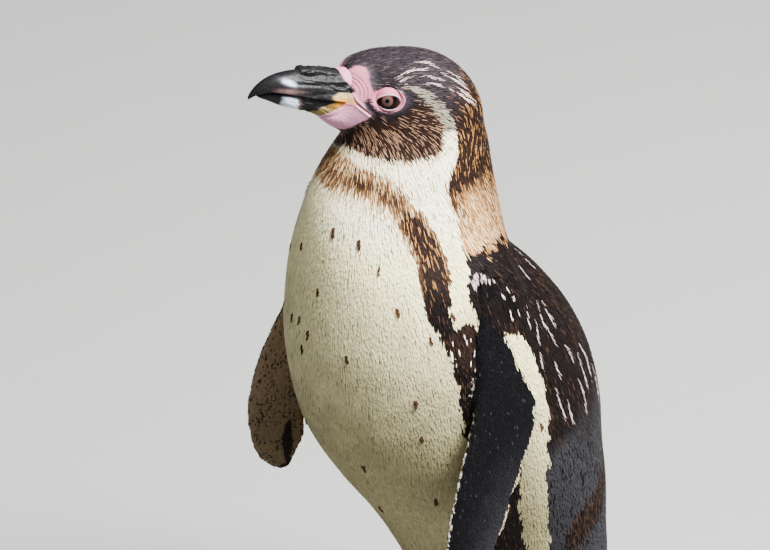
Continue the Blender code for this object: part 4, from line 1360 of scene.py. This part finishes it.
def make_lid(side, tree, tones, finish):
    """The fleshy ring round one eye: a pale rim on the eyeball, easing out into the face."""
    loop = np.array(OPENING + OPENING[:3])
    heart = np.array(OPENING).mean(axis=0)
    rows, columns = 26, 96

    def skin_level(ahead, up):
        levels = []
        for a, u in zip(ahead, up):
            start = from_head((a, 60.0 * side, u))
            hit = tree.ray_cast(Vector(start), Vector(-AXES[1] * side), 0.1)[0]
            levels.append(in_head(np.array(hit))[1] * side)
        return np.array(levels)

    def place(down, around):
        share = 1 / (len(loop) - 1)
        inner = curve_through(loop, share + around * (1 - 2 * share))
        top = np.clip(down / 0.72, 0, 1)
        back = np.clip((down - 0.72) / 0.28, 0, 1)
        out = np.where(back > 0, 1 - back, top)
        way = unit(inner - heart)
        reach = 1.9 + 2.1 * ease(-0.3, 0.8, way[:, 1])
        spread = inner + way * (reach * out)[:, None]
        apart = np.hypot(spread[:, 0] - EYE_PLACE[0] / MM, spread[:, 1] - EYE_PLACE[2] / MM)
        ball = EYE_PLACE[1] / MM + np.sqrt(np.maximum(8.15**2 - apart**2, 0.0))
        skin = skin_level(spread[:, 0], spread[:, 1])
        level = np.maximum(ball, skin - 0.55)
        level = level + (skin + 0.02 - level) * ease(0.35, 1.0, out)
        level = np.maximum(level, ball + 0.12 + 0.25 * ease(0.0, 0.4, out) * ease(1.0, 0.6, out))
        level = level + 0.50 * bell(out - 0.16, 0.15) - 0.22 * bell(out - 0.52, 0.08)
        level = level + 0.22 * bell(out - 0.72, 0.12)
        level = level - 1.1 * np.sin(math.pi * back) - 0.25 * (back > 0)
        return from_head(np.stack((spread[:, 0], level * side, spread[:, 1]), axis=1))

    bm = sheet(rows, columns, place)
    mesh = bpy.data.meshes.new("lid")
    bm.to_mesh(mesh)
    bm.free()
    points = places_of(mesh)
    ahead, _, up = in_head(points).T
    out = -within(OPENING, ahead, up)
    tone = face_colour(points, tones)
    tint = painter(tones, tone)
    tint(ease(1.15, 0.7, out), "lid")
    # Painted shade in the crease round the lid
    tint(0.55 * bell(out - 1.4, 0.28), "fold")
    tint(ease(0.05, -0.25, out), "eye_corner")
    tint_vertices(mesh, "tone", tone)
    store(mesh, "naked", np.ones(len(points)))
    store(mesh, "scaly", np.zeros(len(points)))
    return placed("lid_left" if side > 0 else "lid_right", mesh, finish)


def make_claws(finish):
    """The claws, rounded from their solids."""
    nodes = sorted(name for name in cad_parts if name.startswith("claw"))
    claws = object_from("claws", copied(nodes), finish)
    rounder = claws.modifiers.new("rounder", "SUBSURF")
    rounder.levels = rounder.render_levels = 2
    settle(claws)
    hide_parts(*nodes)
    return claws


# ---------------------------------------------------------------- finishes


def feed(tree, socket, value):
    """Sets a socket to a value, or joins it to the socket that feeds it."""
    if isinstance(value, bpy.types.NodeSocket):
        tree.links.new(value, socket)
    else:
        socket.default_value = value


def add(tree, kind, inputs=None, **settings):
    """A node with its settings; each input is a value, or the socket that feeds it."""
    made = tree.nodes.new("ShaderNode" + kind)
    for name, value in settings.items():
        setattr(made, name, value)
    for name, value in (inputs or {}).items():
        feed(tree, made.inputs[name], value)
    return made


def group(name, inputs, outputs):
    """A new node group with these sockets, and its own input and output nodes."""
    tree = bpy.data.node_groups.new(name, "ShaderNodeTree")
    for direction, sockets in (("INPUT", inputs), ("OUTPUT", outputs)):
        for label, kind in sockets.items():
            tree.interface.new_socket(name=label, in_out=direction, socket_type="NodeSocket" + kind)
    return tree, tree.nodes.new("NodeGroupInput").outputs, tree.nodes.new("NodeGroupOutput").inputs


def grouped(tree, inner, inputs):
    """A node group placed in a material with its own values."""
    used = tree.nodes.new("ShaderNodeGroup")
    used.node_tree = inner
    for name, value in inputs.items():
        feed(tree, used.inputs[name], value)
    return used.outputs


def mix(tree, share, first, second, blend="MIX"):
    inputs = {0: share, 6: first, 7: second}
    return add(tree, "Mix", inputs, data_type="RGBA", blend_type=blend).outputs[2]


def sum_of(tree, operation, *values):
    return add(tree, "Math", dict(enumerate(values)), operation=operation).outputs[0]


def vector_sum(tree, operation, *values):
    return add(tree, "VectorMath", dict(enumerate(values)), operation=operation).outputs


def object_place(tree):
    return add(tree, "TexCoord").outputs["Object"]


def noise(tree, scale, detail=3.0):
    inputs = {"Vector": object_place(tree), "Scale": scale, "Detail": detail}
    return add(tree, "TexNoise", inputs).outputs["Fac"]


def stretched(tree, value, low, high, start=0.0, end=1.0):
    """The value's run from start to end, stretched to run from low to high."""
    ends = {"From Min": start, "From Max": end, "To Min": low, "To Max": high}
    return add(tree, "MapRange", {"Value": value, **ends}).outputs[0]


def attribute(tree, name, output="Fac"):
    return add(tree, "Attribute", attribute_name=name).outputs[output]


# Where the noise's clouds begin and end
CLOUDS = (0.3, 0.7)


def mottle_group():
    """Uneven lightness over a surface: broad clouds and fine specks."""
    sockets = {"Color": "Color", "Size": "Float", "Amount": "Float"}
    tree, given, result = group("mottle", sockets, {"Color": "Color", "Clouds": "Float"})
    clouds = noise(tree, given["Size"], 4.0)
    level = stretched(tree, clouds, 0.62, 1.3, *CLOUDS)
    shade = add(tree, "CombineColor", {"Red": level, "Green": level, "Blue": level}).outputs[0]
    feed(tree, result["Color"], mix(tree, given["Amount"], given["Color"], shade, "MULTIPLY"))
    feed(tree, result["Clouds"], clouds)
    return tree


# The rings of the eye's colour from the middle of the gaze outwards, by the angle in radians
PUPIL, CORNER = (0.001, 0.001, 0.001), (0.002, 0.001, 0.001)
EYE_RINGS = (
    (0.0, PUPIL), (0.150, PUPIL), (0.180, (0.036, 0.028, 0.026)), (0.270, (0.050, 0.031, 0.027)),
    (0.360, (0.080, 0.027, 0.021)), (0.435, (0.045, 0.013, 0.010)), (0.470, PUPIL), (0.700, CORNER),
    (0.800, (0.010, 0.004, 0.005)), (1.000, (0.014, 0.006, 0.007)),
)


def iris_group():
    """The eye by how far each place lies from the middle of its gaze."""
    tree, given, result = group("iris", {"Centre": "Vector", "Gaze": "Vector"}, {"Color": "Color"})
    out = vector_sum(tree, "SUBTRACT", object_place(tree), given["Centre"])[0]
    out = vector_sum(tree, "NORMALIZE", out)[0]
    lined = vector_sum(tree, "DOT_PRODUCT", out, given["Gaze"])["Value"]
    ragged = sum_of(tree, "MULTIPLY_ADD", noise(tree, 1400.0), 0.05, sum_of(tree, "ARCCOSINE", lined))
    rings = tree.nodes.new("ShaderNodeValToRGB")
    ramp = rings.color_ramp
    while len(ramp.elements) < len(EYE_RINGS):
        ramp.elements.new(0.5)
    for element, (position, colour) in zip(ramp.elements, EYE_RINGS):
        element.position, element.color = position, (*colour, 1.0)
    feed(tree, rings.inputs[0], ragged)
    feed(tree, result["Color"], rings.outputs[0])
    return tree


def new_finish(name, roughness, specular, **sockets):
    """A new material with its node tree and the sockets of its Principled shader."""
    made = bpy.data.materials.new(name)
    made.use_nodes = True
    shader = made.node_tree.nodes["Principled BSDF"].inputs
    shader["Roughness"].default_value = roughness
    shader["Specular IOR Level"].default_value = specular
    for label, value in sockets.items():
        shader[label.replace("_", " ")].default_value = value
    return made, made.node_tree, shader


def mottled(tree, shader, layer, size, amount):
    """Feeds a colour attribute through the mottle group; returns the group's clouds."""
    inputs = {"Size": size, "Amount": amount, "Color": attribute(tree, layer, "Color")}
    used = grouped(tree, bpy.data.node_groups.get("mottle") or mottle_group(), inputs)
    feed(tree, shader["Base Color"], used["Color"])
    return used["Clouds"]


def bumped(tree, shader, height, strength, distance):
    """Feeds a height to the material's normal."""
    bump = add(tree, "Bump", {"Height": height, "Strength": strength, "Distance": distance})
    feed(tree, shader["Normal"], bump.outputs["Normal"])


def make_finishes():
    """Every finish of the bird but the eyes', by name."""
    names = ("coat_down", "flipper_coat", "tail_quills", "naked_skin", "bill_horn", "claw_horn")
    if names[0] in bpy.data.materials:
        return {name: bpy.data.materials[name] for name in names}
    _, tree, shader = new_finish("coat_down", 0.62, 0.04)
    mottled(tree, shader, "plumage", 260.0, 0.35)
    _, tree, shader = new_finish("flipper_coat", 0.42, 0.04)
    clouds = mottled(tree, shader, "plumage", 420.0, 0.35)
    feed(tree, shader["Roughness"], stretched(tree, clouds, 0.36, 0.54, *CLOUDS))
    _, tree, shader = new_finish("tail_quills", 0.48, 0.16)
    bumped(tree, shader, mottled(tree, shader, "plumage", 300.0, 0.6), 0.25, 0.0004)

    _, tree, shader = new_finish("naked_skin", 0.5, 0.18)
    mottled(tree, shader, "tone", 500.0, 0.22)
    naked = attribute(tree, "naked")
    inputs = {"Vector": object_place(tree), "Scale": 420.0}
    scales = add(tree, "TexVoronoi", inputs, feature="DISTANCE_TO_EDGE")
    flat = stretched(tree, scales.outputs["Distance"], 0.0, 1.0, 0.0, 0.16)
    pores = sum_of(tree, "MULTIPLY", noise(tree, 1500.0), naked)
    flat = sum_of(tree, "MULTIPLY", flat, attribute(tree, "scaly"))
    bumped(tree, shader, sum_of(tree, "ADD", pores, flat), 0.3, 0.0004)
    feed(tree, shader["Roughness"], stretched(tree, naked, 0.62, 0.46))

    _, tree, shader = new_finish("bill_horn", 0.4, 0.13)
    clouds = mottled(tree, shader, "tone", 700.0, 0.4)
    gloss = stretched(tree, attribute(tree, "smooth_horn"), 0.0, -0.14)
    rough = sum_of(tree, "ADD", stretched(tree, clouds, 0.36, 0.6, *CLOUDS), gloss)
    feed(tree, shader["Roughness"], rough)
    bumped(tree, shader, clouds, 0.3, 0.0003)

    _, tree, shader = new_finish("claw_horn", 0.38, 0.25)
    lines = noise(tree, 900.0)
    feed(tree, shader["Base Color"], mix(tree, lines, (0.010, 0.009, 0.009, 1), (0.075, 0.062, 0.052, 1)))
    bumped(tree, shader, lines, 0.25, 0.0003)
    return {name: bpy.data.materials[name] for name in names}


def eye_finish(name, side):
    """The wet eyeball's material, with the iris's rings round its gaze."""
    made, tree, shader = new_finish(name, 0.3, 0.04, Coat_Weight=0.06, Coat_Roughness=0.04)
    inputs = {"Centre": middle(name), "Gaze": unit((GAZE * (1, side, 1)) @ AXES)}
    rings = grouped(tree, bpy.data.node_groups.get("iris") or iris_group(), inputs)
    feed(tree, shader["Base Color"], rings["Color"])
    return made


# ---------------------------------------------------------------- stage


# Where the camera looks, its turn round the bird from the front, its height, its distance and its lens
TARGET = (-0.0312, -0.0262, 0.3206)
CAMERA_TURN, CAMERA_RISE = math.radians(57), math.radians(28)
CAMERA_DISTANCE, CAMERA_LENS, SENSOR = 2.3, 179.2, 36.0
# Each light's place and size in metres
LIGHTS = {"key": ((1.15, 0.60, 2.6), 1.2), "fill": ((0.9, -2.2, 1.2), 2.2), "sky": ((-0.4, 0.3, 2.9), 3.0)}
LIT_HEIGHT = 0.3


def stood(name, data, place, way):
    """A camera or a light that stands at a place, with its back turned this way."""
    made = bpy.data.objects.new(name, data)
    made.location = place
    made.rotation_euler = way.to_track_quat("Z", "Y").to_euler()
    bpy.context.scene.collection.objects.link(made)
    return made


def make_stage(settings):
    """The floor, the camera and the lights."""
    bm = bmesh.new()
    bmesh.ops.create_grid(bm, x_segments=8, y_segments=8, size=6.0)
    pale, tree, shader = new_finish("studio_floor", 0.8, 0.2)
    tone = np.array(settings.floor)
    laid = mix(tree, noise(tree, 40.0, 5.0), (*(tone * 0.985), 1), (*(tone * 1.015), 1))
    feed(tree, shader["Base Color"], laid)
    floor = object_from("floor", bm, pale)

    along, aside = math.cos(CAMERA_RISE), math.sin(CAMERA_TURN)
    back = Vector((aside * along, -math.cos(CAMERA_TURN) * along, math.sin(CAMERA_RISE)))
    seen = bpy.data.cameras.new("camera")
    seen.lens, seen.sensor_width, seen.clip_end = CAMERA_LENS, SENSOR, 50.0
    place = Vector(TARGET) + Vector(SHIFT) + back * CAMERA_DISTANCE
    bpy.context.scene.camera = stood("camera", seen, place, back)

    for name, (place, size) in LIGHTS.items():
        lamp = bpy.data.lights.new(name, "AREA")
        lamp.size, lamp.energy = size, getattr(settings, name)
        stood(name, lamp, place, Vector(place) - Vector((0, 0, LIT_HEIGHT)))
    world = bpy.data.worlds.new("studio")
    world.use_nodes = True
    air = world.node_tree.nodes["Background"]
    air.inputs["Color"].default_value = (0.92, 0.95, 1.0, 1.0)
    air.inputs["Strength"].default_value = settings.air
    bpy.context.scene.world = world


# ---------------------------------------------------------------- the add-on


def tone_setting(name, description, default):
    return bpy.props.FloatVectorProperty(
        name=name, description=description, default=default, size=3, min=0.0, max=1.0, subtype="COLOR")


def length_setting(name, description, default):
    return bpy.props.FloatProperty(
        name=name, description=description, default=default, min=0.0, subtype="DISTANCE", unit="LENGTH",
        precision=4)


def number_setting(name, description, default, low=0.0, high=10.0):
    return bpy.props.FloatProperty(name=name, description=description, default=default, min=low, max=high)


# What each tone colours, and its default
TONES = {
    "belly": ("Clean belly feathers", (0.76, 0.7, 0.39)),
    # The lower belly's olive stain, darkened further as painted shade
    "belly_low": ("Stained feathers of the lower belly", (0.17, 0.146, 0.074)),
    "collar": ("White of the throat's ring", (0.86, 0.82, 0.58)),
    "brow": ("Grey-white stripe over the eye", (0.21, 0.185, 0.14)),
    "spot": ("Dark flecks on the belly", (0.022, 0.01, 0.006)),
    "spot_edge": ("Brown edges of those flecks", (0.075, 0.03, 0.012)),
    "band": ("Ground of the band across the breast", (0.009, 0.005, 0.0045)),
    "band_rim": ("Brown feathers round the dark of the breast band", (0.085, 0.042, 0.022)),
    "band_edge": ("Feather edges in the breast band", (0.035, 0.018, 0.012)),
    "nape": ("Buff feathers of the hindneck", (0.34, 0.165, 0.055)),
    "nape_pale": ("Whitish feather tips on the hindneck", (0.62, 0.44, 0.25)),
    "nape_edge": ("Brown edges on the hindneck", (0.022, 0.011, 0.007)),
    "back": ("Black of the back and the flank", (0.004, 0.003, 0.003)),
    "back_edge": ("Brown feather edges on the back", (0.008, 0.005, 0.004)),
    "back_streak": ("Pale worn feathers on the back", (0.42, 0.36, 0.35)),
    # Grey of the lower back, partly a painted sheen
    "rump": ("Grey of the lower back", (0.015, 0.0145, 0.017)),
    "rump_edge": ("Feather edges on the lower back", (0.03, 0.029, 0.032)),
    "worn": ("Brown worn feathers on the rump", (0.03, 0.015, 0.009)),
    "mask": ("Dark brown of the cheek and throat", (0.013, 0.0075, 0.0055)),
    "mask_edge": ("Brown feather edges in the mask", (0.032, 0.017, 0.011)),
    "mask_streak": ("Tan feathers in the mask", (0.27, 0.155, 0.095)),
    "crown": ("Purplish black of the crown", (0.0185, 0.0145, 0.018)),
    "crown_edge": ("Feather edges on the crown", (0.024, 0.018, 0.02)),
    "crown_fleck": ("Faint paler feathers on the crown", (0.065, 0.045, 0.043)),
    "crown_streak": ("Pale hair-like feathers on the crown", (0.58, 0.45, 0.4)),
    "flipper_out": ("Blue-black outside of the flippers", (0.003, 0.003, 0.0035)),
    # Painted sheen on the hind and lower part of the flippers' outside
    "flipper_sheen": ("Greyer hind part of the flippers", (0.015, 0.015, 0.018)),
    "flipper_edge": ("White front edge of the flippers", (0.3, 0.28, 0.26)),
    "flipper_trail": ("Beige hind edge of the flippers", (0.36, 0.31, 0.21)),
    "flipper_worn": ("Pinkish worn patch on the shoulder", (0.40, 0.31, 0.30)),
    "flipper_in": ("Pale inside of the flippers", (0.21, 0.15, 0.09)),
    # Browner rear of the inside, darker towards the tip as painted shade
    "flipper_in_deep": ("Browner rear of the inside", (0.105, 0.077, 0.042)),
    "flipper_spot": ("Black flecks on the inside", (0.01, 0.007, 0.006)),
    "face": ("Naked skin of the face", (0.44, 0.155, 0.22)),
    "face_deep": ("Rose skin round the eye and lores", (0.37, 0.095, 0.14)),
    "jaw": ("Pale naked skin of the jaw", (0.4, 0.19, 0.275)),
    # Painted shade in the folds of the naked skin
    "fold": ("Skin inside the folds", (0.17, 0.04, 0.055)),
    # The pale rim of the eyelids; also the painted highlight beside the gape fold
    "lid": ("Pale rim of the eyelids", (0.52, 0.3, 0.36)),
    "eye_corner": ("Dark skin in the corners of the eye", (0.05, 0.018, 0.022)),
    "horn": ("Black horn of the bill", (0.0042, 0.0039, 0.0044)),
    # Worn streaks on the bill, partly painted highlights; also the painted highlight of the knob
    "horn_grey": ("Worn streaks on the bill", (0.036, 0.031, 0.036)),
    # Painted shade in the grooves of the bill
    "horn_dark": ("Grooves of the bill", (0.002, 0.002, 0.002)),
    "horn_pale": ("Whitish bar across both mandibles", (0.6, 0.66, 0.82)),
    "horn_rose": ("Pinkish smudge along the gape", (0.13, 0.078, 0.075)),
    "horn_cream": ("Cream horn at the gape", (0.42, 0.32, 0.15)),
    "horn_orange": ("Orange horn at the gape", (0.4, 0.13, 0.012)),
    "horn_olive": ("Olive base of the lower mandible", (0.17, 0.13, 0.035)),
    "foot": ("Grey-black skin of the feet", (0.02, 0.018, 0.019)),
    "foot_pink": ("Pink mottling of the feet", (0.2, 0.1, 0.095)),
}


class PenguinTones(bpy.types.PropertyGroup):
    """The colours of the plumage, the naked skin and the horn."""

    __annotations__ = {
        name: tone_setting(name.replace("_", " ").capitalize(), about, colour)
        for name, (about, colour) in TONES.items()
    }


class PenguinSkin(bpy.types.PropertyGroup):
    """How the skin is made from the solid flesh."""

    voxel: length_setting("Voxel", "Grain of the skin's mesh", 0.00212)
    body_coat: length_setting("Body coat", "Depth of the coat over the body", 0.0012)
    head_coat: length_setting("Head coat", "Depth of the coat over the head", 0.0010)
    flipper_coat: length_setting("Flipper coat", "Depth of the coat over the flippers", 0.0005)


class PenguinCoat(bpy.types.PropertyGroup):
    """How close and how long the feathers grow."""

    fullness: number_setting("Fullness", "Closeness of the feathers", 1.0, 0.4, 1.3)
    length: number_setting("Length", "Scale of the feathers' length", 1.0, 0.5, 1.5)


class PenguinEye(bpy.types.PropertyGroup):
    """The eyes."""

    radius: length_setting("Radius", "Radius of the eyeballs", EYE_RADIUS)


class PenguinStage(bpy.types.PropertyGroup):
    """Floor and light."""

    floor: tone_setting("Floor", "Colour of the plain floor", (0.27, 0.267, 0.26))
    key: number_setting("Key", "Power of the key light, in watts", 590.0, 0, 900)
    fill: number_setting("Fill", "Power of the fill light, in watts", 4.0, 0, 500)
    sky: number_setting("Sky", "Power of the light overhead, in watts", 40.0, 0, 500)
    air: number_setting("Air", "Strength of the light all round", 0.12, 0, 5)


def tones_of(scene):
    settings = scene.penguin_tones
    return {name: np.array(getattr(settings, name)) for name in TONES}


class PENGUIN_OT_stage(bpy.types.Operator):
    """Lay the floor and set the lights and the camera"""

    bl_idname = "penguin.stage"
    bl_label = "Stage"

    def execute(self, context):
        make_stage(context.scene.penguin_stage)
        return {"FINISHED"}


class PENGUIN_OT_skin(bpy.types.Operator):
    """Make the skin that all the feathers stand on, with the naked face and the feet"""

    bl_idname = "penguin.skin"
    bl_label = "Skin"

    def execute(self, context):
        skin = make_skin(context.scene.penguin_skin, tones_of(context.scene), make_finishes()["naked_skin"])
        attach(skin, BODY)
        return {"FINISHED"}


class PENGUIN_OT_coat(bpy.types.Operator):
    """Grow the feathers of the head, body, legs and flippers"""

    bl_idname = "penguin.coat"
    bl_label = "Coat"

    def execute(self, context):
        for piece in make_coat(context.scene.penguin_coat, tones_of(context.scene), make_finishes()):
            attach(piece, BODY)
        return {"FINISHED"}


class PENGUIN_OT_tail(bpy.types.Operator):
    """Make the stiff tail feathers and their coverts"""

    bl_idname = "penguin.tail"
    bl_label = "Tail"

    def execute(self, context):
        tail = make_tail(tones_of(context.scene), make_finishes()["tail_quills"])
        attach(tail, BODY)
        return {"FINISHED"}


class PENGUIN_OT_bill(bpy.types.Operator):
    """Make the two halves of the bill with their plates and grooves"""

    bl_idname = "penguin.bill"
    bl_label = "Bill"

    def execute(self, context):
        tones, horn = tones_of(context.scene), make_finishes()["bill_horn"]
        for name, stations, upper in (("upper_bill", UPPER_BILL, True), ("lower_bill", LOWER_BILL, False)):
            piece = bill_half(name, stations, tones, horn, upper)
            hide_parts("bill_upper" if upper else "bill_lower")
            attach(piece, BODY)
        return {"FINISHED"}


class PENGUIN_OT_eyes(bpy.types.Operator):
    """Make both eyeballs and the lids round them"""

    bl_idname = "penguin.eyes"
    bl_label = "Eyes"

    def execute(self, context):
        tones, flesh = tones_of(context.scene), make_finishes()["naked_skin"]
        tree = skin_faces(bpy.data.objects["skin"])["tree"]
        for name, side in (("eye_left", 1), ("eye_right", -1)):
            eye = make_eyeball(name, side, context.scene.penguin_eye, eye_finish(name, side))
            lid = make_lid(side, tree, tones, flesh)
            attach(eye, BODY)
            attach(lid, BODY)
        return {"FINISHED"}


class PENGUIN_OT_claws(bpy.types.Operator):
    """Make the claws"""

    bl_idname = "penguin.claws"
    bl_label = "Claws"

    def execute(self, context):
        claws = make_claws(make_finishes()["claw_horn"])
        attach(claws, BODY)
        return {"FINISHED"}


OPERATORS = (
    PENGUIN_OT_stage, PENGUIN_OT_skin, PENGUIN_OT_coat, PENGUIN_OT_tail, PENGUIN_OT_bill,
    PENGUIN_OT_eyes, PENGUIN_OT_claws,
)
GROUPS = {
    "penguin_tones": PenguinTones, "penguin_skin": PenguinSkin, "penguin_coat": PenguinCoat,
    "penguin_eye": PenguinEye, "penguin_stage": PenguinStage,
}


class PENGUIN_PT_build(bpy.types.Panel):
    """Steps and settings of the penguin"""

    bl_label = "Penguin"
    bl_idname = "PENGUIN_PT_build"
    bl_space_type = "VIEW_3D"
    bl_region_type = "UI"
    bl_category = "Penguin"

    def draw(self, context):
        for step in OPERATORS:
            self.layout.operator(step.bl_idname)
        for holder, settings in GROUPS.items():
            box = self.layout.box()
            for name in settings.__annotations__:
                box.prop(getattr(context.scene, holder), name)


def register():
    for settings in GROUPS.values():
        bpy.utils.register_class(settings)
    for step in OPERATORS + (PENGUIN_PT_build,):
        bpy.utils.register_class(step)
    for holder, settings in GROUPS.items():
        setattr(bpy.types.Scene, holder, bpy.props.PointerProperty(type=settings))


def unregister():
    for holder in GROUPS:
        delattr(bpy.types.Scene, holder)
    for step in (PENGUIN_PT_build,) + OPERATORS[::-1]:
        bpy.utils.unregister_class(step)
    for settings in GROUPS.values():
        bpy.utils.unregister_class(settings)


def main():
    register()
    for step in OPERATORS:
        group_name, step_name = step.bl_idname.split(".")
        getattr(getattr(bpy.ops, group_name), step_name)()


if __name__ == "__main__":
    main()
